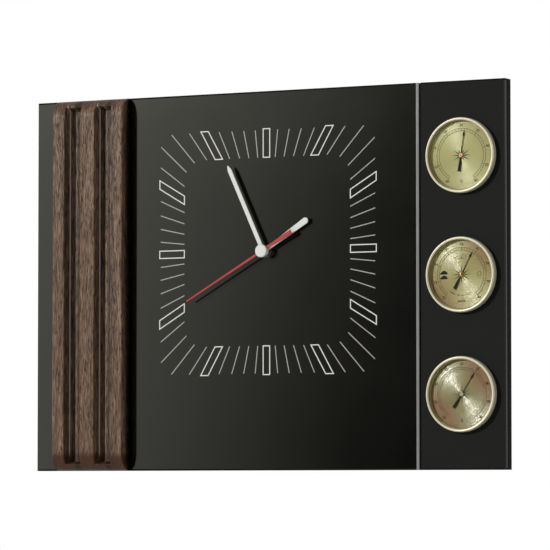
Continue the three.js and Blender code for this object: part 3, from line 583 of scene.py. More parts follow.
@dataclass(frozen=True)
class SpunMetal(Finish):
    """Sheet metal spun on a lathe: fine rings whose slopes throw a highlight in two cones.

    A painted warm reflection tints two opposite sectors towards the rim; lean tips the whole disc by
    a few degrees.
    """

    shades: Point = (0.9, 1.08)
    gloss_change: float = 0.06
    centre: tuple[float, float, float] = (0.0, 0.0, 0.0)
    rim_radius: float = 31 * MM
    # Painted reflection: a warm, darker tint in two opposite sectors towards the rim, with its angle
    # and strength
    tarnish: Colour = paint(130, 88, 40)
    tarnish_angle: float = 50.0
    tarnish_share: float = 0.6
    lean: Point = (0.0, 0.0)
    slope: float = 1.04
    pitch: float = 0.11 * MM
    pitch_roughness: float = 0.6
    patina: float = 70.0
    metallic: float = 0.03
    specular: float = 0.5
    tint: Colour = (1.0, 0.98, 0.86)

    def spun_normal(self, mat: Shader, radius: Sock, outward: Sock) -> Sock:
        """The face's normal, tipped outwards and inwards by the rings.

        Args:
            mat: The shader that is filled.
            radius: Distance from the disc's centre.
            outward: Direction away from it.

        Returns:
            The normal.
        """
        ring = mat.node("ShaderNodeTexNoise", {"noise_dimensions": "1D"}, {
            "W": radius, "Scale": 1 / self.pitch, "Detail": SOFT, "Roughness": self.pitch_roughness})
        face = mat.node("ShaderNodeNewGeometry", output="Normal")
        lean_x, lean_z = (math.radians(angle) for angle in self.lean)
        tipped = mat.vector("ADD", face, Vector((lean_x, 0, lean_z)))
        slopes = mat.scaled(outward, (ring - 0.5) * self.slope)
        return mat.vector("NORMALIZE", mat.vector("ADD", tipped, slopes))

    def draw(self, mat: Shader) -> None:
        """Draws the rings and the painted warm reflection near the rim.

        Args:
            mat: The shader that is filled.
        """
        flat = mat.vector("MULTIPLY", mat.coords(centre=Vector(self.centre)), Vector((1, 0, 1)))
        radius = mat.vector("LENGTH", flat, output="Value")
        outward = mat.vector("NORMALIZE", flat)
        # Painted reflection: the warm tint in two opposite sectors, stronger towards the rim
        angle = math.radians(self.tarnish_angle)
        across = mat.vector("DOT_PRODUCT", outward, Vector((math.sin(angle), 0, math.cos(angle))),
                            output="Value")
        patina = mat.noise(mat.coords(), self.patina, CRISP)
        sector = (across ** 2) ** 2
        rim = (radius * (1 / self.rim_radius)) ** 2
        share = (sector * rim * self.tarnish_share * (patina + 0.5)).clamped()
        mat.surface({
            "Base Color": mat.blend(share, self.mottled(mat, patina), self.tarnish),
            "Metallic": self.metallic,
            "Specular IOR Level": self.specular,
            "Specular Tint": self.tint,
            "Roughness": self.rough(patina),
            "Normal": self.spun_normal(mat, radius, outward)})


@dataclass(frozen=True)
class Clear(Finish):
    """Clear lens: almost no colour, with a sharp reflection."""

    shades: Point = (1.0, 1.3)
    gloss_change: float = 0.04
    smears: float = 40.0
    alpha: float = 0.08

    def draw(self, mat: Shader) -> None:
        """Draws a thin clear sheet.

        Args:
            mat: The shader that is filled.
        """
        smear = mat.noise(mat.coords(), self.smears)
        mat.surface({
            "Base Color": self.mottled(mat, smear),
            "Roughness": self.roughness + smear * self.gloss_change,
            "Alpha": self.alpha})


@dataclass(frozen=True)
class Winding(Finish):
    """Enamelled wire wound side by side."""

    shades: Point = (0.55, 1.0)
    scale: float = 250.0
    waviness: float = 0.3
    metallic: float = 0.9
    relief: float = 0.08 * MM

    def draw(self, mat: Shader) -> None:
        """Draws the turns as fine ridges, with painted shade between them.

        Args:
            mat: The shader that is filled.
        """
        turns = mat.node("ShaderNodeTexWave", {"bands_direction": "X", "wave_profile": "SIN"}, {
            "Vector": mat.coords(), "Scale": self.scale, "Distortion": self.waviness}, output="Fac")
        # Painted shade: the colour is darkest between the turns, where the ridges are lowest
        mat.surface({
            "Base Color": self.mottled(mat, turns),
            "Metallic": self.metallic,
            "Roughness": self.roughness,
            "Normal": mat.bump(turns, self.relief)})


@dataclass(frozen=True)
class Board(Finish):
    """Circuit board: solder mask with tracks just showing."""

    shades: Point = (1.0, 1.9)
    cells: float = 420.0
    track_level: float = 0.55
    relief: float = 0.03 * MM

    def draw(self, mat: Shader) -> None:
        """Draws tracks as stepped cells.

        Args:
            mat: The shader that is filled.
        """
        cells = mat.node("ShaderNodeTexVoronoi", {"distance": "MANHATTAN"}, {
            "Vector": mat.coords(), "Scale": self.cells}, output="Distance")
        track = cells > self.track_level
        mat.surface({
            "Base Color": self.mottled(mat, track),
            "Roughness": self.roughness,
            "Normal": mat.bump(track, self.relief)})


@dataclass(frozen=True)
class Sleeve(Finish):
    """Printed battery sleeve with a lighter band at the plus end."""

    gloss_change: float = 0.15
    band: Colour = paint(176, 142, 74)
    split: float = 0.0
    scuffs: float = 500.0
    metallic: float = 0.4

    def draw(self, mat: Shader) -> None:
        """Draws two plain bands along the cell.

        Args:
            mat: The shader that is filled.
        """
        scuff = mat.noise(mat.coords(), self.scuffs, CRISP)
        mat.surface({
            "Base Color": mat.blend(mat.along("X") > self.split, self.colour, self.band),
            "Metallic": self.metallic,
            "Roughness": self.rough(scuff)})


class Finishes(Enum):
    """Every finish that is the same wherever it is used."""

    SATIN_FACE = Satin("satin_face", paint(4, 4, 3), 0.104, specular=0.76,
                       tint=(1.0, 0.99, 0.86))
    MATT_FACE = Grained("matt_face", paint(18, 18, 17), 0.62, depth=0.012 * MM, specular=0.08)
    LACQUER = Satin("lacquer", paint(15, 15, 14), 0.5, specular=0.02)
    BEAD = Satin("bead_lacquer", paint(14, 14, 13), 0.25, specular=0.25)
    SILVER_PRINT = Paint("silver_print", paint(196, 195, 190), 0.5, specular=0.2)
    GREY_PRINT = Paint("grey_print", paint(142, 141, 136), 0.5, specular=0.3)
    ALUMINIUM = Brushed("aluminium", paint(139, 139, 136), 0.15, depth=0.002 * MM, metallic=0.3)
    PLYWOOD = Plywood("plywood", paint(166, 132, 92), 0.75)
    ZINC = Brushed("zinc", paint(176, 178, 178), 0.36, stretch=(0.05, 1.0, 1.0))
    NICKEL = Brushed("nickel", paint(128, 128, 127), 0.34, stretch=(1.0, 0.1, 1.0))
    BLACK_PLASTIC = Grained("black_plastic", paint(27, 27, 27), 0.52, depth=0.04 * MM)
    RUBBER = Grained("rubber", paint(30, 30, 30), 0.8, grain=900.0, specular=0.2)
    CIRCUIT = Board("circuit", paint(30, 84, 44), 0.4)
    COPPER_WIRE = Winding("copper_wire", paint(178, 106, 60), 0.35)
    LAMINATION = Brushed("lamination", paint(146, 148, 150), 0.4, stretch=(0.1, 1.0, 1.0))
    NYLON = Grained("nylon", paint(226, 223, 208), 0.45, grain=700.0, depth=0.02 * MM)
    BRASS = Brushed("brass", paint(202, 166, 80), 0.3, stretch=(1.0, 0.05, 1.0))
    COPPER_HUB = Brushed("copper_hub", paint(192, 140, 106), 0.3, stretch=(1.0, 0.1, 1.0))
    PALE_HUB = Brushed("pale_hub", paint(196, 186, 150), 0.3, stretch=(1.0, 0.1, 1.0))
    WHITE_PAINT = Paint("white_paint", paint(196, 196, 191), 0.55, specular=0.2)
    RED_PAINT = Paint("red_paint", paint(152, 50, 47), 0.55, specular=0.2)
    CHAMPAGNE = Brushed("champagne", paint(197, 190, 164), 0.4, stretch=(0.4, 1.0, 0.4),
                        depth=0.002 * MM, metallic=0.4)
    LENS = Clear("lens", paint(26, 27, 26), 0.05)
    POINTER = Paint("pointer", paint(30, 28, 17), 0.6, specular=0.12)
    LINER_BRASS = Paint("liner_brass", paint(150, 138, 84), 0.5)
    DIAL_INK = Paint("dial_ink", paint(44, 40, 22), 0.6, specular=0.15)
    FAINT_INK = Paint("faint_ink", paint(74, 68, 38), 0.6, specular=0.15)


# Mesh work


class Blank:
    """A piece on the bench: a bmesh in metres that operators shape into one object."""

    def __init__(self, name: str) -> None:
        """Starts an empty piece.

        Args:
            name: The piece's name.
        """
        self.name = name
        self.bm = bmesh.new()

    def flat(self, outline: Sequence[Point], y: float,
             holes: Iterable[Sequence[Point]] = ()) -> list[bmesh.types.BMFace]:
        """Fills an outline that lies parallel to the wall.

        Args:
            outline: Corners as x and z, in metres.
            y: Depth of the face.
            holes: Outlines of holes inside it.

        Returns:
            The new faces.
        """
        edges = []
        holes = list(holes)
        for loop in (outline, *holes):
            verts = [self.bm.verts.new((x, y, z)) for x, z in loop]
            if not holes:
                return [self.bm.faces.new(verts)]
            edges += [self.bm.edges.new(pair) for pair in zip(verts, verts[1:] + verts[:1])]
        made = bmesh.ops.triangle_fill(self.bm, use_beauty=True, use_dissolve=False, edges=edges)
        return [item for item in made["geom"] if isinstance(item, bmesh.types.BMFace)]

    def push(self, faces: Sequence[bmesh.types.BMFace],
             step: Sequence[float]) -> list[bmesh.types.BMFace]:
        """Extrudes faces along a step.

        Args:
            faces: The faces to extrude.
            step: How far they move, in metres.

        Returns:
            The faces at the far end.
        """
        made = bmesh.ops.extrude_face_region(self.bm, geom=list(faces))["geom"]
        verts = [item for item in made if isinstance(item, bmesh.types.BMVert)]
        bmesh.ops.translate(self.bm, verts=verts, vec=Vector(step))
        return [item for item in made if isinstance(item, bmesh.types.BMFace)]

    def plate(self, outline: Sequence[Point], back: float, front: float,
              holes: Iterable[Sequence[Point]] = ()) -> None:
        """A flat piece between two depths.

        Args:
            outline: Corners as x and z, in metres.
            back: Depth of its back.
            front: Depth of its front.
            holes: Outlines of holes through it.
        """
        self.push(self.flat(outline, back, holes), (0, front - back, 0))

    def turn(self, profile: Sequence[Point], centre: Point, steps: int,
             closed: bool = False) -> None:
        """Spins a profile round an axis that stands out from the wall.

        Args:
            profile: Points as radius and depth.
            centre: The axis, as x and z.
            steps: Facets round the axis.
            closed: True for a ring, whose profile's end joins its start.
        """
        cx, cz = centre
        verts = [self.bm.verts.new((cx + radius, y, cz)) for radius, y in profile]
        pairs = list(zip(verts, verts[1:]))
        if closed:
            pairs.append((verts[-1], verts[0]))
        edges = [self.bm.edges.new(pair) for pair in pairs]
        bmesh.ops.spin(self.bm, geom=verts + edges, cent=(cx, 0, cz), axis=(0, 1, 0),
                       angle=TURN, steps=steps, use_merge=True, use_duplicate=False)

    def soften(self, width: float, segments: int = 2, sharper_than: float = 50.0,
               where: Callable[[bmesh.types.BMEdge], bool] = lambda edge: True) -> None:
        """Bevels sharp edges.

        Args:
            width: Width of the bevel, in metres.
            segments: Steps across it.
            sharper_than: Least angle between an edge's faces, in degrees.
            where: Which of those edges are softened.
        """
        self.merge()
        limit = math.radians(sharper_than)
        edges = [edge for edge in self.bm.edges
                 if edge.is_manifold and edge.calc_face_angle(0.0) > limit and where(edge)]
        bmesh.ops.bevel(self.bm, geom=edges, offset=width, offset_type="OFFSET",
                        segments=segments, profile=0.5, affect="EDGES", clamp_overlap=True,
                        material=-1)

    def merge(self) -> None:
        """Joins vertices that lie on each other and turns every face outwards."""
        bmesh.ops.remove_doubles(self.bm, verts=self.bm.verts, dist=WELD)
        bmesh.ops.recalc_face_normals(self.bm, faces=self.bm.faces)

    def add_mesh(self, mesh: bpy.types.Mesh, place: Matrix | None = None) -> None:
        """Adds another mesh to this piece.

        Args:
            mesh: The mesh, which is moved with it.
            place: Where it goes.
        """
        if place is not None:
            mesh.transform(place)
        self.bm.from_mesh(mesh)

    def corner_normals(self, least: float) -> list[Vector]:
        """Normals for each face's corners, led by the broad faces so that flats stay flat.

        Args:
            least: Cosine of the greatest angle that is still shaded smooth.

        Returns:
            One normal for each corner, in the order of the faces.
        """
        self.bm.normal_update()
        areas = {face: face.calc_area() for face in self.bm.faces}
        normals = []
        for face in self.bm.faces:
            for corner in face.loops:
                total = Vector()
                for other in corner.vert.link_faces:
                    if other.normal.dot(face.normal) >= least:
                        total += other.normal * areas[other]
                normals.append(total.normalized() if total.length > 0 else face.normal.copy())
        return normals

    def finish(self, finish: Finish, body: str, slot: str, replaces: Sequence[str] = (),
               smooth: float = 32.0) -> bpy.types.Object:
        """Ends the piece as an object that rides on its body.

        Args:
            finish: The surface finish.
            body: The moving group it belongs to.
            slot: The record's material slot; not used.
            replaces: CAD nodes that it stands for.
            smooth: Edges flatter than this angle are shaded smooth, in degrees.

        Returns:
            The finished object.
        """
        self.merge()
        for face in self.bm.faces:
            face.smooth = True
        normals = self.corner_normals(math.cos(math.radians(smooth)))
        mesh = bpy.data.meshes.new(self.name)
        self.bm.to_mesh(mesh)
        mesh.normals_split_custom_set(normals)
        self.bm.free()
        made = bpy.data.objects.new(self.name, mesh)
        bpy.context.scene.collection.objects.link(made)
        mesh.materials.append(finish.material())
        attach(made, body)
        if replaces:
            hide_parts(*replaces)
        LOG.info("%s: %d faces", self.name, len(mesh.polygons))
        return made


def ring_points(radius: float, centre: Point, count: int) -> list[Point]:
    """Corners of a circle.

    Args:
        radius: Its radius.
        centre: Its centre as x and z.
        count: How many corners.

    Returns:
        The corners in order.
    """
    return [(centre[0] + radius * math.cos(TURN * i / count),
             centre[1] + radius * math.sin(TURN * i / count)) for i in range(count)]


def box_points(low: Point, high: Point) -> list[Point]:
    """Corners of an upright rectangle."""
    return [(low[0], low[1]), (high[0], low[1]), (high[0], high[1]), (low[0], high[1])]


def clockwise(points: Iterable[Point], degrees: float, centre: Point = (0.0, 0.0)) -> list[Point]:
    """Turns points clockwise about the origin and moves them to a centre.

    Args:
        points: Points as x and z.
        degrees: Angle from 12 o'clock.
        centre: Where the origin goes.

    Returns:
        The turned points.
    """
    c, s = math.cos(math.radians(degrees)), math.sin(math.radians(degrees))
    return [(centre[0] + x * c + z * s, centre[1] - x * s + z * c) for x, z in points]


def centre_of(node: str) -> Point:
    """Middle of a CAD node across and up the panel."""
    low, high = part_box(node)
    return (low.x + high.x) / 2, (low.z + high.z) / 2


def depths_of(node: str) -> Point:
    """Back and front depth of a CAD node."""
    low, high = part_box(node)
    return high.y, low.y


def radius_of(node: str) -> float:
    """Radius of a round CAD node that faces the front."""
    low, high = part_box(node)
    return (high.x - low.x) / 2


def quarter_round(radius: float, steps: int) -> list[Point]:
    """Points of a quarter circle about the origin, from its side to its front."""
    angles = (math.pi / 2 * i / steps for i in range(steps + 1))
    return [(radius * math.cos(angle), -radius * math.sin(angle)) for angle in angles]


def lies_at(edge: bmesh.types.BMEdge, depth: float) -> bool:
    """Whether an edge lies flat at a depth."""
    return all(abs(vert.co.y - depth) < NEAR for vert in edge.verts)


def carry(name: str, node: str, finish: Finishes, slot: str, softness: float, segments: int = 2,
          cuts: Sequence[float] = ()) -> None:
    """Replaces a fixed CAD node by a merged copy of it with its edges broken.

    Args:
        name: The new piece's name.
        node: The CAD node.
        finish: The surface finish.
        slot: The record's material slot.
        softness: Width of the broken edge, in metres.
        segments: Steps across it.
        cuts: Places across the node where its flats are divided, so that none is long and thin.
    """
    copy = Blank(name)
    copy.bm.from_mesh(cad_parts[node].data)
    bmesh.ops.remove_doubles(copy.bm, verts=copy.bm.verts, dist=NEAR)
    for x in cuts:
        cut = bmesh.ops.bisect_plane(
            copy.bm, geom=[*copy.bm.verts, *copy.bm.edges, *copy.bm.faces], dist=WELD,
            plane_co=(x, 0, 0), plane_no=(1, 0, 0))["geom_cut"]
        for item in cut:
            if isinstance(item, bmesh.types.BMEdge):
                item.seam = True
    bmesh.ops.dissolve_limit(copy.bm, angle_limit=FLAT, use_dissolve_boundaries=False,
                             verts=copy.bm.verts, edges=copy.bm.edges, delimit={"SEAM"})
    copy.soften(softness, segments)
    copy.finish(finish.value, "root", slot, [node])


# Sub-assemblies


@dataclass
class Panel:
    """The board with its satin face, matt gauge face and the metal strip between them."""

    arris: float = 0.35 * MM
    level_margin: float = 1.5 * MM
    bead_width: float = 1.0 * MM
    bead_arris: float = 0.85 * MM
    strip_cap: float = 0.5 * MM
    strip_lip: float = 0.8 * MM
    strip_left: float = 0.15 * MM
    strip_right: float = 0.5 * MM
    strip_arris: float = 0.2 * MM
    neck_hole: float = 4.4 * MM
    neck_facets: int = 48
    gauge_hole_play: float = 0.3 * MM
    gauge_facets: int = 96

    def build(self) -> None:
        """Builds the sheets, the strip and the board's broken edges."""
        self.face_sheet()
        self.gauge_sheet()
        self.side_bead()
        self.sealed_edges()
        self.strip()
        carry("backing_board", "panel_board", Finishes.LACQUER, "panel_lacquer", self.arris)

    def sheet_outline(self, low: Vector, high: Vector) -> list[Point]:
        """A face sheet's outline, which leaves room for the sealing along its top and foot."""
        return box_points((low.x, low.z + self.level_margin), (high.x, high.z - self.level_margin))

    def sealed_edges(self) -> None:
        """Matt black sealing along the top and foot of both sheets."""
        seal = Blank("sealed_edges")
        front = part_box("gauge_plate")[0].y
        for node in ("dial_plate", "gauge_plate"):
            low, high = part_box(node)
            for start, stop in ((low.z, low.z + self.level_margin),
                                (high.z - self.level_margin, high.z)):
                seal.plate(box_points((low.x, start), (high.x, stop)), high.y, front)
        seal.finish(Finishes.LACQUER.value, "root", "panel_lacquer")

    def side_bead(self) -> None:
        """A satin bead with a broken corner down the right side of the gauge sheet."""
        low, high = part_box("gauge_plate")
        bead = Blank("side_bead")
        bead.plate(self.sheet_outline(Vector((high.x - self.bead_width, 0, low.z)), high),
                   high.y, low.y)
        bead.soften(self.bead_arris, 1, where=lambda edge: lies_at(edge, low.y) and all(
            abs(vert.co.x - high.x) < NEAR for vert in edge.verts))
        bead.finish(Finishes.BEAD.value, "root", "face_satin")

    def strip(self) -> None:
        """The metal strip: a thin cap on a narrower web that stands in the gap."""
        low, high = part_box("trim_strip")
        strip = Blank("metal_strip")
        outline = box_points((low.x + self.strip_left, low.z), (high.x - self.strip_right, high.z))
        under = strip.flat(outline, low.y + self.strip_cap)
        strip.push(under, (0, -self.strip_cap, 0))
        bmesh.ops.inset_region(strip.bm, faces=under, thickness=self.strip_lip)
        strip.push(under, (0, high.y - low.y - self.strip_cap, 0))
        strip.soften(self.strip_arris, where=lambda edge: lies_at(edge, low.y))
        strip.finish(Finishes.ALUMINIUM.value, "root", "strip_aluminium", ["trim_strip"])

    def face_sheet(self) -> None:
        """The satin sheet behind the hands, bored for the movement's neck."""
        low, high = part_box("dial_plate")
        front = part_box("gauge_plate")[0].y
        sheet = Blank("satin_face")
        hole = ring_points(self.neck_hole, centre_of("hand_cap"), self.neck_facets)
        sheet.plate(self.sheet_outline(low, high), high.y, front, [hole])
        sheet.soften(self.arris, 1, where=lambda edge: not lies_at(edge, front))
        sheet.finish(Finishes.SATIN_FACE.value, "root", "face_satin", ["dial_plate"])

    def gauge_sheet(self) -> None:
        """The matt sheet round the gauges."""
        low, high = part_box("gauge_plate")
        sheet = Blank("matt_face")
        lenses = [f"{kind.value}_lens" for kind in GaugeKind]
        holes = [ring_points(radius_of(lens) + self.gauge_hole_play, centre_of(lens),
                             self.gauge_facets) for lens in lenses]
        bead = Vector((self.bead_width, 0, 0))
        sheet.plate(self.sheet_outline(low, high - bead), high.y, low.y, holes)
        sheet.finish(Finishes.MATT_FACE.value, "root", "face_matt", ["gauge_plate"])


@dataclass
class Moulding:
    """Walnut moulding with three ribs, two stepped grooves and ends rounded down."""

    ribs: tuple[float, ...] = (13 * MM, 15.7 * MM, 13.2 * MM)
    grooves: tuple[float, ...] = (17 * MM, 17.2 * MM)
    height: float = 14 * MM
    end_radius: float = 17 * MM
    end_height: float = 0.15 * MM
    ledge_height: float = 5.5 * MM
    ledge_width: float = 2.5 * MM
    channel_width: float = 5 * MM
    channel_floor: float = 1.5 * MM
    arris: float = 0.9 * MM
    arris_steps: int = 4
    ledge_arris: float = 0.9 * MM / 3
    # Where the painted highlight line lies across each ledge
    worn_share: float = 0.6
    # How far past the channel the painted shade band lies
    band_inset: float = 5.8 * MM
    groove_stop: float = 6.2 * MM
    groove_ramp: float = 3.2 * MM
    end_steps: int = 18
    long_steps: int = 6
    smooth_angle: float = 24.0

    def section(self) -> list[Point]:
        """Corners of the section.

        Returns:
            Points across the ribs and out from the panel.
        """
        points = []
        start = 0.0
        for i, width in enumerate(self.ribs):
            end = start + width
            points += [(start, self.ledge_height if i else 0.0), (start, self.height),
                       (end, self.height)]
            if i < len(self.grooves):
                ledge = end + self.ledge_width
                points += [(end, self.ledge_height), (ledge, self.ledge_height),
                           (ledge, self.channel_floor),
                           (ledge + self.channel_width, self.channel_floor),
                           (ledge + self.channel_width, self.ledge_height)]
                start = end + self.grooves[i]
            else:
                points.append((end, 0.0))
        return points

    def stations(self, length: float) -> list[float]:
        """Places along the moulding where its section is set.

        Args:
            length: The moulding's length.

        Returns:
            Distances from the lower end.
        """
        curve = [self.end_radius * (1 - math.cos(math.pi / 2 * i / self.end_steps))
                 for i in range(self.end_steps + 1)]
        middle = length - 2 * self.end_radius
        straight = [self.end_radius + middle * i / self.long_steps
                    for i in range(1, self.long_steps)]
        return curve + straight + [length - d for d in reversed(curve)]

    def reach(self, distance: float) -> float:
        """Greatest height at a distance from the nearer end."""
        inside = min(distance / self.end_radius, 1.0)
        return self.height * math.sqrt(max(1 - (1 - inside) ** 2, 0.0))

    def round_corners(self, piece: Blank, corners: Sequence[bmesh.types.BMVert], width: float,
                      segments: int) -> None:
        """Rounds corners of the flat section.

        Args:
            piece: The piece, still only a section.
            corners: Which corners are rounded.
            width: How far the round reaches.
            segments: Steps round it.
        """
        bmesh.ops.bevel(piece.bm, geom=corners, offset=width, offset_type="OFFSET",
                        segments=segments, profile=0.5, affect="VERTICES", clamp_overlap=True,
                        material=-1)

    def build(self) -> None:
        """Builds the moulding by extruding its section from station to station."""
        low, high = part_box("wood_moulding")
        piece = Blank("walnut_moulding")
        corners = [piece.bm.verts.new((low.x + x, high.y - out, low.z)) for x, out in self.section()]
        piece.bm.faces.new(corners)
        tops = [v for v in corners if v.co.y < high.y - self.height + self.arris]
        self.round_corners(piece, tops, self.arris, self.arris_steps)
        ledges = [v for v in piece.bm.verts
                  if self.channel_floor + NEAR < high.y - v.co.y < self.ledge_height + NEAR]
        self.round_corners(piece, ledges, self.ledge_arris, 2)
        face = next(iter(piece.bm.faces))
        heights = [high.y - v.co.y for v in face.verts]
        length = high.z - low.z
        places = self.stations(length)
        self.shape(face, heights, high.y, places[0], length)
        for before, after in zip(places, places[1:]):
            face = piece.push([face], (0, 0, after - before))[0]
            self.shape(face, heights, high.y, after, length)
        # Painted highlight lines on the ledges and painted shade bands before each rib; both ends get
        # painted shade as well
        highlights, bands = self.lines(low.x)
        finish = Walnut("walnut", paint(93, 71, 54), 0.42, worn_lines=highlights, stained_bands=bands,
                        foot=low.z, head=high.z)
        piece.finish(finish, "root", "walnut", ["wood_moulding"], smooth=self.smooth_angle)

    def lines(self, left: float) -> tuple[tuple[float, ...], ...]:
        """Where the painted highlight lines lie on the ledges, and where the painted shade bands lie
        before the next rib.

        Args:
            left: The moulding's left side.

        Returns:
            Places of the painted highlight lines and of the painted shade bands.
        """
        highlights, bands = [], []
        start = left
        for width, groove in zip(self.ribs, self.grooves):
            highlights.append(start + width + self.ledge_width * self.worn_share)
            bands.append(start + width + self.ledge_width + self.channel_width + self.band_inset)
            start += width + groove
        return tuple(highlights), tuple(bands)

    def shape(self, face: bmesh.types.BMFace, heights: Sequence[float], back: float,
              along: float, length: float) -> None:
        """Sets one station's corners under the rounded end.

        Args:
            face: The station's face.
            heights: Full height of each of its corners.
            back: Depth of the moulding's back.
            along: Distance from the lower end.
            length: The moulding's length.
        """
        inside = min(along, length - along)
        limit = max(self.reach(inside), self.end_height)
        filled = 1 - min(max((inside - self.groove_stop) / self.groove_ramp, 0.0), 1.0)
        base = min(limit, self.ledge_height)
        for vert, full in zip(face.verts, heights):
            drop = self.height - full
            is_arris = drop < self.arris + NEAR
            out = max(limit - drop, base) if is_arris else min(full, limit)
            vert.co.y = back - (out if full < NEAR else out + (limit - out) * filled)


@dataclass
class ClockFace:
    """Raised print: twelve outlined hour frames and the ticks between them."""

    outer: float = 114 * MM
    inner: float = 86.6 * MM
    outer_corner: float = 15 * MM
    inner_corner: float = 20 * MM
    hour_width: float = 7.8 * MM
    hour_stroke: float = 0.95 * MM
    tick_stroke: float = 0.85 * MM
    tick_outer_inset: float = 1.6 * MM
    tick_inner_inset: float = 0.4 * MM
    minutes: int = 60
    per_hour: int = 5

    def rim_point(self, direction: Vector, offset: float, half: float, corner: float) -> Point:
        """Where a line beside a ray from the centre meets a rounded square.

        Args:
            direction: The ray's direction.
            offset: How far the line lies beside it.
            half: Half the square's side.
            corner: Radius of its corners.

        Returns:
            The meeting point, from the dial's centre.
        """
        side = Vector((-direction.y, direction.x)) * offset
        reach = min((math.copysign(half, d) - s) / d
                    for d, s in zip(direction, side) if abs(d) > NEAR)
        point = side + direction * reach
        flat = half - corner
        if min(abs(point.x), abs(point.y)) <= flat:
            return point.x, point.y
        middle = Vector((math.copysign(flat, point.x), math.copysign(flat, point.y)))
        away = side - middle
        along = away.dot(direction)
        root = math.sqrt(along * along - away.length_squared + corner * corner)
        point = side + direction * (root - along)
        return point.x, point.y

    def mark(self, angle: float, width: float, inner: float, outer: float) -> list[Point]:
        """A mark whose ends follow the square track.

        Args:
            angle: Its place, clockwise from 12 o'clock.
            width: Its width.
            inner: Half the side of the square where it starts.
            outer: Half the side of the square where it ends.

        Returns:
            Its four corners.
        """
        direction = Vector((math.sin(angle), math.cos(angle)))
        ends = [(0.5, inner, self.inner_corner), (-0.5, inner, self.inner_corner),
                (-0.5, outer, self.outer_corner), (0.5, outer, self.outer_corner)]
        return [self.rim_point(direction, width * share, half, corner)
                for share, half, corner in ends]

    def build(self) -> None:
        """Builds the hour frames and the ticks as two pieces."""
        middle = centre_of("hand_cap")
        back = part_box("gauge_plate")[0].y
        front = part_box("dial_plate")[0].y
        frames, ticks = Blank("hour_frames"), Blank("minute_ticks")
        for i in range(self.minutes):
            angle = TURN * i / self.minutes
            if i % self.per_hour == 0:
                outline = self.mark(angle, self.hour_width, self.inner, self.outer)
                window = self.mark(angle, self.hour_width - 2 * self.hour_stroke,
                                   self.inner + self.hour_stroke, self.outer - self.hour_stroke)
                frames.plate(clockwise(outline, 0, middle), back, front,
                             [clockwise(window, 0, middle)])
            else:
                outline = self.mark(angle, self.tick_stroke, self.inner + self.tick_inner_inset,
                                    self.outer - self.tick_outer_inset)
                ticks.plate(clockwise(outline, 0, middle), back, front)
        frames.finish(Finishes.SILVER_PRINT.value, "root", "face_satin")
        ticks.finish(Finishes.GREY_PRINT.value, "root", "face_satin")


@dataclass
class Hand:
    """One hand: half widths at places along its length, from the hub outwards."""

    node: str
    angle: float
    hub: float
    blade: tuple[Point, ...]
    finish: Finishes
    slot: str
    tail: tuple[Point, ...] = ()
    edge: float = 0.22 * MM
    hub_corners: int = 24

    def half(self, side: Sequence[Point]) -> list[Point]:
        """One side of a blade or tail, started on the hub's edge."""
        join = math.sqrt(self.hub ** 2 - side[0][0] ** 2)
        return [(width, max(along, join)) for width, along in side]

    def arc(self, start: float, stop: float) -> list[Point]:
        """Points of the hub's edge.

        Args:
            start: Clockwise angle from 12 o'clock, in radians.
            stop: Angle where the edge ends.

        Returns:
            The points between the two ends.
        """
        count = max(int(self.hub_corners * (stop - start) / TURN), 2)
        return [(self.hub * math.sin(a), self.hub * math.cos(a))
                for a in (start + (stop - start) * i / count for i in range(1, count))]

    def outline(self) -> list[Point]:
        """The hand's outline, pointing up.

        Returns:
            Its corners, clockwise from the blade's left side at the hub.
        """
        up = self.half(self.blade)
        open_up = math.asin(self.blade[0][0] / self.hub)
        points = [(-x, z) for x, z in up] + up[::-1]
        if not self.tail:
            return points + self.arc(open_up, TURN - open_up)
        down = self.half(self.tail)
        open_down = math.asin(self.tail[0][0] / self.hub)
        points += self.arc(open_up, math.pi - open_down)
        points += [(x, -z) for x, z in down] + [(-x, -z) for x, z in reversed(down)]
        return points + self.arc(math.pi + open_down, TURN - open_up)

    def build(self) -> None:
        """Builds the hand at the time shown."""
        back, front = depths_of(self.node)
        hand = Blank(f"{self.node}_blade")
        hand.plate(clockwise(self.outline(), self.angle, centre_of("hand_cap")), back, front)
        hand.soften(self.edge, 2, where=lambda edge: lies_at(edge, front))
        hand.finish(self.finish.value, self.node, self.slot, [self.node])


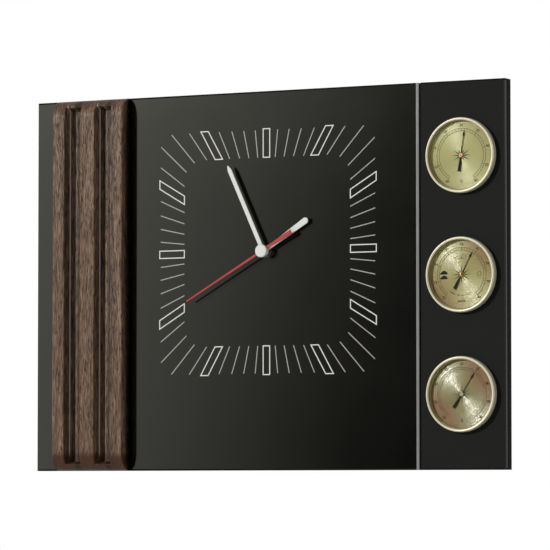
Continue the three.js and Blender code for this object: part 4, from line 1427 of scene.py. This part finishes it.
@dataclass
class Hands:
    """Hour, minute and second hand with the cap and the nut behind them."""

    hour_angle: float = 57.9
    hour_hub: float = 4.5 * MM
    hour_blade: tuple[Point, ...] = ((1.65 * MM, 0.0), (3 * MM, 51.4 * MM), (1 * MM, 53.4 * MM))
    minute_angle: float = -24.9
    minute_hub: float = 4 * MM
    minute_blade: tuple[Point, ...] = ((2 * MM, 0.0), (2 * MM, 83.5 * MM), (0.6 * MM, 88 * MM))
    second_angle: float = 240.7
    second_hub: float = 3 * MM
    second_blade: tuple[Point, ...] = ((1.15 * MM, 0.0), (0.7 * MM, 91.5 * MM))
    second_tail: tuple[Point, ...] = ((1.15 * MM, 0.0), (2.1 * MM, 35 * MM))
    cap_edge: float = 1.1 * MM
    cap_edge_steps: int = 5
    cap_facets: int = 64
    nut_edge: float = 0.35 * MM

    def build(self) -> None:
        """Builds the hands from the back to the front."""
        Hand("hour_hand", self.hour_angle, self.hour_hub, self.hour_blade,
             Finishes.WHITE_PAINT, "hand_white").build()
        Hand("minute_hand", self.minute_angle, self.minute_hub, self.minute_blade,
             Finishes.WHITE_PAINT, "hand_white").build()
        Hand("second_hand", self.second_angle, self.second_hub, self.second_blade,
             Finishes.RED_PAINT, "hand_red", self.second_tail).build()
        self.cap()
        carry("movement_nut", "hex_nut", Finishes.NICKEL, "nut_steel", self.nut_edge)

    def cap(self) -> None:
        """The turned cap with a rounded rim."""
        back, front = depths_of("hand_cap")
        radius = radius_of("hand_cap")
        edge = [(radius - self.cap_edge + x, front + self.cap_edge + y)
                for x, y in quarter_round(self.cap_edge, self.cap_edge_steps)]
        cap = Blank("centre_cap")
        cap.turn([(0, back), (radius, back), *edge, (0, front)], centre_of("hand_cap"),
                 self.cap_facets)
        cap.finish(Finishes.WHITE_PAINT.value, "second_hand", "hand_white", ["hand_cap"])


class GaugeKind(Enum):
    """The three gauges, by the name that their nodes start with."""

    THERMOMETER = "thermometer"
    BAROMETER = "barometer"
    HYGROMETER = "hygrometer"


@dataclass(frozen=True)
class WeatherSigns:
    """Places and sizes of the barometer's weather signs, from its axis."""

    dark_feet: tuple[Point, ...] = ((-17.6 * MM, 0.4 * MM), (-17.6 * MM, -3.9 * MM))
    dark_width: float = 7.2 * MM
    suns: tuple[Point, ...] = ((17.6 * MM, 0.3 * MM), (1.9 * MM, 16.2 * MM))
    sun_outer: float = 2.1 * MM
    sun_inner: float = 1.75 * MM
    sun_facets: int = 28
    pale_foot: Point = (-3.2 * MM, 14 * MM)
    pale_width: float = 6.6 * MM
    pale_stroke: float = 0.3 * MM
    dash_radius: float = 18.8 * MM
    dashes: tuple[tuple[float, float, float], ...] = (
        (217, 200, 0.7 * MM), (193, 187, 0.7 * MM), (180, 173, 0.6 * MM), (169, 147, 0.3 * MM))
    dash_steps: int = 8
    cloud_tops: tuple[Point, ...] = ((-0.24, 0.26), (0.04, 0.46), (0.28, 0.22))
    cloud_rise: float = 0.2
    cloud_steps: int = 40

    def cloud(self, foot: Point, width: float, inset: float = 0.0) -> list[Point]:
        """Edge of a cloud: a flat foot under three round tops.

        Args:
            foot: The middle of its foot.
            width: The foot's width.
            inset: How far the edge is moved inwards.

        Returns:
            The corners of the edge.
        """
        half = width / 2 - inset
        points = [(foot[0] - half, foot[1] + inset)]
        for i in range(self.cloud_steps + 1):
            x = -half + 2 * half * i / self.cloud_steps
            rise = self.cloud_rise * width
            for place, size in self.cloud_tops:
                inside = (size * width) ** 2 - (x - place * width) ** 2
                rise = max(rise, math.sqrt(max(inside, 0.0)))
            points.append((foot[0] + x, foot[1] + rise - inset))
        return [*points, (foot[0] + half, foot[1] + inset)]


@dataclass(frozen=True)
class GaugeScale:
    """What one gauge shows, and how its disc shines."""

    labels: tuple[str, ...]
    end_angle: float
    unit: str
    reading: float
    disc: Colour
    roughness: float
    shine: float
    # Strength of the disc's painted warm reflection
    tarnish: float
    hub: Finishes
    hub_slot: str = "brass"
    lean: Point = (0.0, 0.0)
    between: int = 5


SCALES = {
    GaugeKind.THERMOMETER: GaugeScale(
        tuple(str(warmth) for warmth in range(-20, 70, 10)), 148.0, "\N{DEGREE SIGN}C", 8.0,
        paint(171, 167, 108), 0.26, 0.45, 0.2, Finishes.COPPER_HUB, "copper", (-2.4, -1.2)),
    GaugeKind.BAROMETER: GaugeScale(
        tuple(str(height) for height in range(72, 81)), 140.0, "cmHg", 28.0,
        paint(156, 148, 82), 0.27, 1.1, 1.0, Finishes.BRASS),
    GaugeKind.HYGROMETER: GaugeScale(
        tuple(str(share) for share in range(20, 110, 10)), 140.0, "%", 33.0,
        paint(121, 114, 50), 0.25, 1.9, 2.4, Finishes.PALE_HUB, lean=(1.9, 1.8)),
}


@dataclass
class Gauge:
    """One round gauge: spun dial and print, pointer, hub, liner, lens, bezel and case."""

    kind: GaugeKind
    case_edge: float = 0.25 * MM
    dial_bore: float = 1.4 * MM
    dial_edge: float = 0.3 * MM
    mark_rise: float = 0.15 * MM
    facets: int = 144
    lens_facets: int = 96
    hub_facets: int = 40
    arbor_facets: int = 24
    ink: float = 0.05 * MM
    number_radius: float = 27.1 * MM
    figure_size: float = 3.45 * MM
    boldness: float = 0.07 * MM
    unit_radius: float = 23.7 * MM
    arc_outer: float = 24.3 * MM
    arc_inner: float = 22 * MM
    arc_stroke: float = 0.36 * MM
    arc_steps: int = 96
    main_mark: float = 0.45 * MM
    small_mark: float = 0.3 * MM
    star_rays: int = 12
    short_rays: tuple[int, ...] = (1, 5, 7, 11)
    star_long: float = 9.5 * MM
    star_short: float = 6.5 * MM
    star_inner: float = 2.6 * MM
    star_width: float = 1.1 * MM
    needle_gap: float = 0.5 * MM
    needle_thickness: float = 0.4 * MM
    needle_edge: float = 0.06 * MM
    shaft: float = 0.46 * MM
    tip: float = 22.8 * MM
    tip_width: float = 0.161 * MM
    head_at: float = 17.2 * MM
    head_shoulder: float = 1.05 * MM
    head_length: float = 4.2 * MM
    head_width: float = 1.9 * MM
    head_waist: float = 0.368 * MM
    tail: float = 15 * MM
    tail_width: float = 3 * MM
    tail_waist: float = 2.25 * MM
    tail_notch: float = 0.9 * MM
    tail_neck: float = 6.5 * MM
    arbor_radius: float = 0.8 * MM
    hub: float = 1.8 * MM
    hub_gap: float = 0.35 * MM
    dome_wall: float = 0.3 * MM
    dome_slope: float = 0.2 * MM
    cup_wall: float = 0.25 * MM
    cup_rim: float = 0.55 * MM
    cup_floor: float = 0.3 * MM
    liner_outer: float = 30.95 * MM
    liner_inner: float = 30.65 * MM
    liner_play: float = 0.05 * MM
    flange_outer: float = 31.65 * MM
    lens_edge: float = 0.45 * MM
    lens_steps: int = 12
    bezel_outer: float = 34 * MM
    bezel_back_edge: float = 0.2 * MM
    roll: float = 1.3 * MM
    roll_steps: int = 6
    skirt_inner: float = 32 * MM
    lip_inner: float = 31.6 * MM
    lip_slope: Point = (0.5 * MM, 0.37 * MM)
    lip_depth: float = 0.55 * MM
    lens_play: float = 0.3 * MM

    def node(self, part: str) -> str:
        """Name of one of this gauge's nodes or pieces."""
        return f"{self.kind.value}_{part}"

    @property
    def centre(self) -> Point:
        """The gauge's axis, as x and z."""
        return centre_of(self.node("lens"))

    @property
    def scale(self) -> GaugeScale:
        """The scale of this gauge."""
        return SCALES[self.kind]

    @property
    def dial_front(self) -> float:
        """Depth of the dial's face, under the solid's raised marks."""
        return depths_of(self.node("dial"))[1] + self.mark_rise

    def build(self) -> None:
        """Builds the gauge from its dial outwards."""
        self.dial()
        self.print_scale()
        self.print_star()
        if self.kind is GaugeKind.BAROMETER:
            self.print_weather(WeatherSigns())
        self.pointer()
        self.liner()
        self.lens()
        self.bezel()
        carry(self.node("can"), self.node("case"), Finishes.BLACK_PLASTIC, "black_plastic",
              self.case_edge)

    def dial(self) -> None:
        """The spun brass disc."""
        radius = radius_of(self.node("dial"))
        back, front = depths_of(self.node("dial"))[0], self.dial_front
        disc = Blank(self.node("disc"))
        disc.turn([(self.dial_bore, back), (radius, back), (radius, front + self.dial_edge),
                   (radius - self.dial_edge, front), (self.dial_bore, front)],
                  self.centre, self.facets, closed=True)
        cx, cz = self.centre
        scale = self.scale
        finish = SpunMetal(f"spun_{self.kind.value}", scale.disc, scale.roughness,
                           centre=(cx, front, cz), specular=scale.shine,
                           tarnish_share=scale.tarnish, lean=scale.lean)
        disc.finish(finish, "root", "gauge_dial", [self.node("dial")])

    def ink_plate(self, piece: Blank, outline: Sequence[Point], degrees: float = 0.0,
                  holes: Iterable[Sequence[Point]] = ()) -> None:
        """Adds one printed shape to a piece.

        Args:
            piece: The print that grows.
            outline: The shape round the gauge's axis, before it is turned.
            degrees: How far it is turned, clockwise.
            holes: Holes in the shape.
        """
        back = self.dial_front
        piece.plate(clockwise(outline, degrees, self.centre), back, back - self.ink,
                    [clockwise(hole, degrees, self.centre) for hole in holes])

    def band(self, piece: Blank, radius: float, start: float, stop: float, stroke: float,
             steps: int) -> None:
        """Prints an arc.

        Args:
            piece: The print that grows.
            radius: The arc's radius.
            start: Clockwise angle from 12 o'clock where it starts.
            stop: Angle where it ends.
            stroke: Its width.
            steps: Facets along it.
        """
        angles = [math.radians(start + (stop - start) * i / steps) for i in range(steps + 1)]
        outer, inner = ([(reach * math.sin(a), reach * math.cos(a)) for a in angles]
                        for reach in (radius + stroke / 2, radius - stroke / 2))
        self.ink_plate(piece, outer + inner[::-1])

    def write(self, piece: Blank, words: str, radius: float, degrees: float) -> None:
        """Adds upright lettering at a place on the dial.

        Args:
            piece: The print that grows.
            words: Numbers or a unit.
            radius: Distance from the axis.
            degrees: Clockwise angle from 12 o'clock.
        """
        curve = bpy.data.curves.new("figures", "FONT")
        curve.body = words
        curve.align_x, curve.align_y = "CENTER", "CENTER"
        curve.size = self.figure_size
        curve.extrude = self.ink / 2
        curve.resolution_u = 3
        curve.offset = self.boldness
        holder = bpy.data.objects.new("figures", curve)
        bpy.context.scene.collection.objects.link(holder)
        bpy.context.view_layer.update()
        mesh = bpy.data.meshes.new_from_object(holder.evaluated_get(
            bpy.context.evaluated_depsgraph_get()))
        bpy.data.objects.remove(holder)
        bpy.data.curves.remove(curve)
        angle = math.radians(degrees)
        cx, cz = self.centre
        place = Matrix.Translation((cx + radius * math.sin(angle), self.dial_front - self.ink / 2,
                                    cz + radius * math.cos(angle)))
        piece.add_mesh(mesh, place @ Matrix.Rotation(math.pi / 2, 4, "X"))
        bpy.data.meshes.remove(mesh)

    def print_scale(self) -> None:
        """Numbers, the arcs inside them, the marks and the unit."""
        scale = self.scale
        step = 2 * scale.end_angle / (len(scale.labels) - 1)
        figures = Blank(self.node("numbers"))
        for i, label in enumerate(scale.labels):
            self.write(figures, label, self.number_radius, step * i - scale.end_angle)
        self.write(figures, scale.unit, self.unit_radius, 180)
        figures.finish(Finishes.DIAL_INK.value, "root", "gauge_dial")
        lines = Blank(self.node("scale"))
        for radius in (self.arc_outer, self.arc_inner):
            self.band(lines, radius, -scale.end_angle, scale.end_angle, self.arc_stroke,
                      self.arc_steps)
        for i in range((len(scale.labels) - 1) * scale.between + 1):
            is_main = i % scale.between == 0
            inner = self.arc_inner if is_main else (self.arc_outer + self.arc_inner) / 2
            half = (self.main_mark if is_main else self.small_mark) / 2
            self.ink_plate(lines, box_points((-half, inner), (half, self.arc_outer)),
                           step * i / scale.between - scale.end_angle)
        lines.finish(Finishes.FAINT_INK.value, "root", "gauge_dial")

    def print_star(self) -> None:
        """Thin rays round the hub, short on both sides of the upright ones."""
        star = Blank(self.node("star"))
        half = self.star_width / 2
        for i in range(self.star_rays):
            tip = self.star_short if i in self.short_rays else self.star_long
            self.ink_plate(star, [(-half, self.star_inner), (half, self.star_inner), (0.0, tip)],
                           360 * i / self.star_rays)
        star.finish(Finishes.DIAL_INK.value, "root", "gauge_dial")

    def print_weather(self, signs: WeatherSigns) -> None:
        """Prints plain weather signs: two dark clouds, a sun, a cloud beside a sun, and dashes.

        Args:
            signs: Their places and sizes.
        """
        dark = Blank(self.node("dark_clouds"))
        for foot in signs.dark_feet:
            self.ink_plate(dark, signs.cloud(foot, signs.dark_width))
        dark.finish(Finishes.POINTER.value, "root", "gauge_dial")
        pale = Blank(self.node("weather_signs"))
        for middle in signs.suns:
            outer, inner = (ring_points(radius, middle, signs.sun_facets)
                            for radius in (signs.sun_outer, signs.sun_inner))
            self.ink_plate(pale, outer, holes=[inner])
        self.ink_plate(pale, signs.cloud(signs.pale_foot, signs.pale_width),
                       holes=[signs.cloud(signs.pale_foot, signs.pale_width, signs.pale_stroke)])
        for start, stop, stroke in signs.dashes:
            self.band(pale, signs.dash_radius, start, stop, stroke, signs.dash_steps)
        pale.finish(Finishes.DIAL_INK.value, "root", "gauge_dial")

    def pointer(self) -> None:
        """The thin pointer with its arrow head and tail, its arbor and its hub."""
        body = self.node("pointer")
        back = self.dial_front - self.needle_gap
        front = back - self.needle_thickness
        half = self.shaft / 2
        side = [(0.0, -self.tail + self.tail_notch), (self.tail_width / 2, -self.tail),
                (self.tail_waist / 2, -self.tail_neck), (half, -self.hub), (half, self.head_at),
                (self.head_width / 2, self.head_at + self.head_shoulder),
                (self.head_waist / 2, self.head_at + self.head_length),
                (self.tip_width / 2, self.tip)]
        needle = Blank(self.node("needle"))
        needle.plate(clockwise([(-x, z) for x, z in side] + side[:0:-1], self.scale.reading,
                               self.centre), back, front)
        needle.soften(self.needle_edge, 1, where=lambda edge: lies_at(edge, front))
        needle.finish(Finishes.POINTER.value, body, "pointer_black", [body])
        arbor = Blank(self.node("arbor"))
        deep = depths_of(body)[0]
        arbor.turn([(0, deep), (self.arbor_radius, deep), (self.arbor_radius, back), (0, back)],
                   self.centre, self.arbor_facets)
        arbor.finish(Finishes.BRASS.value, body, "brass")
        top = depths_of(self.node("lens"))[0] + self.hub_gap
        hub = Blank(self.node("hub"))
        hub.turn([(0, back), (self.hub, back), *self.hub_profile(front, top), (0, top)],
                 self.centre, self.hub_facets)
        hub.finish(self.scale.hub.value, body, self.scale.hub_slot)

    def hub_profile(self, front: float, top: float) -> list[Point]:
        """The hub's side before the needle: a dome, or a cup round a thin pin.

        Args:
            front: Depth of the needle's front.
            top: Depth of the hub's top.

        Returns:
            Points as radius and depth.
        """
        if self.kind is GaugeKind.BAROMETER:
            steps = ((1.0, front - self.dome_wall), (0.7, top + self.dome_slope), (0.35, top))
        else:
            rim, floor = front - self.cup_rim, front - self.cup_floor
            steps = ((1.0, front - self.cup_wall), (0.85, rim), (0.5, rim), (0.4, floor),
                     (0.22, floor), (0.18, top))
        return [(self.hub * share, depth) for share, depth in steps]

    def liner(self) -> None:
        """The brass ring inside the case, from the dial to the lens."""
        flange = depths_of(self.node("case"))[1] - self.liner_play
        top = depths_of(self.node("lens"))[0] + self.liner_play
        ring = Blank(self.node("liner"))
        ring.turn([(self.liner_inner, self.dial_front), (self.liner_outer, self.dial_front),
                   (self.liner_outer, flange), (self.flange_outer, flange),
                   (self.flange_outer, top), (self.liner_inner, top)],
                  self.centre, self.lens_facets, closed=True)
        ring.finish(Finishes.LINER_BRASS.value, "root", "brass")

    def lens(self) -> None:
        """The clear lens, a little domed."""
        back, front = depths_of(self.node("lens"))
        radius = radius_of(self.node("lens"))
        shares = [1 - i / self.lens_steps for i in range(self.lens_steps + 1)]
        crown = [(radius * share, front + self.lens_edge * share ** 2) for share in shares]
        glass = Blank(self.node("glass"))
        glass.turn([(0, back), (radius, back), *crown], self.centre, self.lens_facets)
        glass.finish(Finishes.LENS.value, "root", "lens_glass", [self.node("lens")])

    def bezel(self) -> None:
        """The turned bezel: a round-edged lip over the lens and a short side band."""
        back, front = depths_of(self.node("bezel"))
        seat = depths_of(self.node("lens"))[1] - self.lens_play
        outer, edge = self.bezel_outer, self.bezel_back_edge
        crown = [(outer - self.roll + x, front + self.roll + y)
                 for x, y in quarter_round(self.roll, self.roll_steps)]
        inward, rise = self.lip_slope
        ring = Blank(self.node("rim"))
        ring.turn([(self.skirt_inner, back), (outer - edge, back), (outer, back - edge), *crown,
                   (self.lip_inner + inward, front + self.lip_depth - rise),
                   (self.lip_inner, front + self.lip_depth), (self.lip_inner, seat),
                   (self.skirt_inner, seat)], self.centre, self.facets, closed=True)
        ring.finish(Finishes.CHAMPAGNE.value, "root", "bezel_champagne", [self.node("bezel")])


@dataclass
class Movement:
    """The quartz movement behind the board: case, cover, setting knob and cell."""

    case_edge: float = 0.4 * MM
    ribs: int = 28
    rib_half_share: float = 0.3
    knob_groove: float = 0.45 * MM
    grip_depth: float = 2.4 * MM
    shank: float = 2 * MM
    shank_facets: int = 32
    pole: float = 2.7 * MM
    pole_length: float = 1.0 * MM
    cell_edge: float = 0.5 * MM
    cell_facets: int = 64
    band_length: float = 11 * MM

    def build(self) -> None:
        """Builds the pieces that show from behind."""
        for name, node in (("movement_housing", "movement_case"), ("movement_lid", "movement_cover")):
            carry(name, node, Finishes.BLACK_PLASTIC, "black_plastic", self.case_edge, 3)
        self.knob()
        self.cell()

    def knob(self) -> None:
        """The setting knob with a ribbed grip."""
        back, front = depths_of("setting_knob")
        radius = radius_of("setting_knob")
        centre = centre_of("setting_knob")
        grip_front = back - self.grip_depth
        outline = []
        for i in range(self.ribs * 2):
            reach = radius - (self.knob_groove if i % 2 else 0.0)
            for shift in (-self.rib_half_share, self.rib_half_share):
                angle = TURN * (i + shift) / (self.ribs * 2)
                outline.append((reach * math.sin(angle), reach * math.cos(angle)))
        knob = Blank("setting_wheel")
        knob.plate(clockwise(outline, 0, centre), back, grip_front)
        knob.turn([(0, grip_front), (self.shank, grip_front), (self.shank, front), (0, front)],
                  centre, self.shank_facets)
        knob.finish(Finishes.BLACK_PLASTIC.value, "setting_knob", "black_plastic",
                    ["setting_knob"])

    def cell(self) -> None:
        """The round cell with its plain sleeve and plus pole."""
        low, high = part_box("battery_cell")
        middle = (low + high) / 2
        radius, length = (high.z - low.z) / 2, high.x - low.x
        shoulder = length - self.pole_length
        profile = [(0, 0), (radius - self.cell_edge, 0), (radius, self.cell_edge),
                   (radius, shoulder - self.cell_edge), (radius - self.cell_edge, shoulder),
                   (self.pole, shoulder), (self.pole, length), (0, length)]
        cell = Blank("battery")
        cell.turn([(r, -along) for r, along in profile], (0, 0), self.cell_facets)
        turn = Matrix.Translation((low.x, middle.y, middle.z)) @ Matrix.Rotation(
            math.pi / 2, 4, "Z")
        bmesh.ops.transform(cell.bm, matrix=turn, verts=cell.bm.verts)
        finish = Sleeve("battery_sleeve", paint(66, 78, 92), 0.32, split=high.x - self.band_length)
        cell.finish(finish, "root", "battery_sleeve", ["battery_cell"])


@dataclass
class Rear:
    """Battens and hangers that hold the panel to the wall."""

    batten_edge: float = 0.8 * MM
    hanger_edge: float = 0.2 * MM
    cut_shares: tuple[float, ...] = (0.0, 0.34, 0.66, 1.0)

    def build(self) -> None:
        """Breaks the edges of the battens and hangers."""
        hangers = [f"keyhole_hanger_{side}" for side in ("left", "right")]
        cuts = [low.x + (high.x - low.x) * share
                for low, high in map(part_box, hangers) for share in self.cut_shares]
        for end in ("top", "bottom"):
            carry(f"batten_{end}", f"rear_batten_{end}", Finishes.PLYWOOD, "plywood",
                  self.batten_edge, 3, cuts)
        for side, hanger in zip(("left", "right"), hangers):
            carry(f"hanger_plate_{side}", hanger, Finishes.ZINC, "zinc_steel", self.hanger_edge)


# Finishes of the CAD nodes that stay as they are
CARRIED = {
    Finishes.ZINC: ("hanger_screw_left_outer", "hanger_screw_left_inner",
                    "hanger_screw_right_outer", "hanger_screw_right_inner",
                    "moulding_screw_top", "moulding_screw_bottom"),
    Finishes.RUBBER: ("rubber_washer",),
    Finishes.CIRCUIT: ("circuit_board",),
    Finishes.COPPER_WIRE: ("coil",),
    Finishes.LAMINATION: ("stator",),
    Finishes.NYLON: ("rotor", "intermediate_wheel", "seconds_wheel", "third_wheel",
                     "centre_wheel", "cannon_pinion", "motion_wheel", "hour_wheel"),
    Finishes.NICKEL: ("battery_contact_negative", "battery_contact_positive"),
    Finishes.BRASS: ("thermometer_coil", "hygrometer_coil", "barometer_adjusting_screw",
                     "barometer_bridge", "barometer_rocker"),
    Finishes.COPPER_HUB: ("barometer_capsule",),
}


def dress_carried() -> None:
    """Gives every CAD node that stays its own finish."""
    for finish, nodes in CARRIED.items():
        for name in nodes:
            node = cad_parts[name]
            node.data.materials.clear()
            node.data.materials.append(finish.value.material())
            LOG.info("%s keeps its solid", name)


@dataclass
class Studio:
    """Camera, lamps, pale floor and white surroundings."""

    camera_azimuth: float = 28.396
    camera_elevation: float = -3.146
    camera_distance: float = 3.6141
    target: tuple[float, float, float] = (0.0112, -0.024, -0.1304)
    focal_length: float = 257.05
    sensor: float = 36.0
    key_azimuth: float = -34.7
    key_elevation: float = 17.5
    key_distance: float = 4.2
    key_power: float = 138.0
    fill_azimuth: float = 62.0
    fill_elevation: float = 22.0
    fill_distance: float = 3.6
    fill_power: float = 22.0
    fill_size: Point = (1.6, 1.6)
    key_size: Point = (0.2, 0.3)
    clip: Point = (0.1, 50.0)
    floor_drop: float = 0.6
    floor_radius: float = 3.0
    floor_facets: int = 96
    floor_shades: tuple[Colour, Colour] = (paint(238, 238, 236), paint(244, 244, 242))
    floor_clouds: float = 3.0
    floor_roughness: float = 0.9
    ambient: float = 0.32
    ambient_slope: float = 0.55
    shade_left: float = -29.88
    shade_left_blur: float = 0.038
    shade_tilt: float = 0.2
    shade_right: float = 65.0
    shade_right_blur: float = 0.3

    @staticmethod
    def towards(azimuth: float, elevation: float) -> Vector:
        """Unit vector from the clock to a place round it.

        Args:
            azimuth: Degrees to the viewer's right of straight ahead.
            elevation: Degrees above the horizon.

        Returns:
            The direction.
        """
        a, e = math.radians(azimuth), math.radians(elevation)
        return Vector((math.sin(a) * math.cos(e), -math.cos(a) * math.cos(e), math.sin(e)))

    def build(self) -> None:
        """Sets up everything round the clock."""
        self.camera()
        self.lamp("key", self.key_azimuth, self.key_elevation, self.key_distance,
                  self.key_power, self.key_size)
        self.lamp("fill", self.fill_azimuth, self.fill_elevation, self.fill_distance,
                  self.fill_power, self.fill_size)
        self.floor()
        self.surroundings()
        bpy.context.scene.view_settings.view_transform = "Standard"

    def camera(self) -> None:
        """The camera at the photograph's place."""
        lens = bpy.data.cameras.new("camera")
        lens.sensor_width = self.sensor
        lens.lens = self.focal_length
        lens.clip_start, lens.clip_end = self.clip
        camera = bpy.data.objects.new("camera", lens)
        bpy.context.scene.collection.objects.link(camera)
        away = self.towards(self.camera_azimuth, self.camera_elevation)
        camera.location = Vector(self.target) + away * self.camera_distance
        camera.rotation_euler = (-away).to_track_quat("-Z", "Y").to_euler()
        bpy.context.scene.camera = camera

    def lamp(self, name: str, azimuth: float, elevation: float, distance: float, power: float,
             size: Point) -> None:
        """Adds one rectangular lamp that looks at the clock.

        Args:
            name: The lamp's name.
            azimuth: Degrees to the right of straight ahead.
            elevation: Degrees above the horizon.
            distance: How far it stands from the clock.
            power: Its power.
            size: Width and height.
        """
        lamp = bpy.data.lights.new(name, "AREA")
        lamp.shape = "RECTANGLE"
        lamp.size, lamp.size_y = size
        lamp.energy = power
        holder = bpy.data.objects.new(name, lamp)
        bpy.context.scene.collection.objects.link(holder)
        away = self.towards(azimuth, elevation)
        holder.location = Vector(self.target) + away * distance
        holder.rotation_euler = (-away).to_track_quat("-Z", "Y").to_euler()

    def floor(self) -> None:
        """A plain pale floor well under the clock."""
        ground = bmesh.new()
        bmesh.ops.create_circle(ground, cap_ends=True, segments=self.floor_facets,
                                radius=self.floor_radius)
        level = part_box("panel_board")[0].z - self.floor_drop
        bmesh.ops.translate(ground, verts=ground.verts, vec=(0, 0, level))
        mesh = bpy.data.meshes.new("floor")
        ground.to_mesh(mesh)
        ground.free()
        floor = bpy.data.objects.new("floor", mesh)
        bpy.context.scene.collection.objects.link(floor)
        made = bpy.data.materials.new("pale_floor")
        made.use_nodes = True
        shader = Shader(made.node_tree)
        soft = shader.noise(shader.coords(), self.floor_clouds)
        shader.surface({"Base Color": shader.blend(soft, *self.floor_shades),
                        "Roughness": self.floor_roughness})
        mesh.materials.append(made)

    def surroundings(self) -> None:
        """White surroundings, with a dark screen in front that the glossy face looks into."""
        world = bpy.data.worlds.new("studio")
        world.use_nodes = True
        bpy.context.scene.world = world
        shader = Shader(world.node_tree)
        ray = {name: shader.node("ShaderNodeLightPath", output=name)
               for name in ("Is Camera Ray", "Is Glossy Ray", "Is Transmission Ray")}
        at = shader.node("ShaderNodeTexCoord", output="Generated")
        from_left = shader.vector("DOT_PRODUCT", at, self.towards(self.shade_left + 90, 0),
                                  output="Value")
        from_right = shader.vector("DOT_PRODUCT", at, self.towards(self.shade_right - 90, 0),
                                   output="Value")
        height = shader.node("ShaderNodeSeparateXYZ", {}, {"Vector": at}, output="Z")
        from_left = from_left - height * self.shade_tilt
        shade = ((from_left * (0.5 / self.shade_left_blur) + 0.5).clamped()
                 * (from_right / self.shade_right_blur).clamped())
        open_share = 1 - shade
        white = ray["Is Camera Ray"] + ray["Is Transmission Ray"]
        level = (white + ray["Is Glossy Ray"] * open_share).clamped()
        rest = 1 - (white + ray["Is Glossy Ray"]).clamped()
        strength = level + rest * (height * self.ambient_slope + 1.0) * self.ambient
        background = shader.node("ShaderNodeBackground", {}, {
            "Color": (1.0, 1.0, 1.0), "Strength": strength})
        shader.node("ShaderNodeOutputWorld", {}, {"Surface": background})


def main() -> None:
    """Builds the clock and its studio."""
    logging.basicConfig(level=logging.INFO, format="%(message)s")
    Studio().build()
    assemblies = [Panel(), Moulding(), ClockFace(), Hands(),
                  *(Gauge(kind) for kind in GaugeKind), Movement(), Rear()]
    for assembly in assemblies:
        LOG.info("building %s", type(assembly).__name__)
        assembly.build()
    dress_carried()


if __name__ == "__main__":
    main()
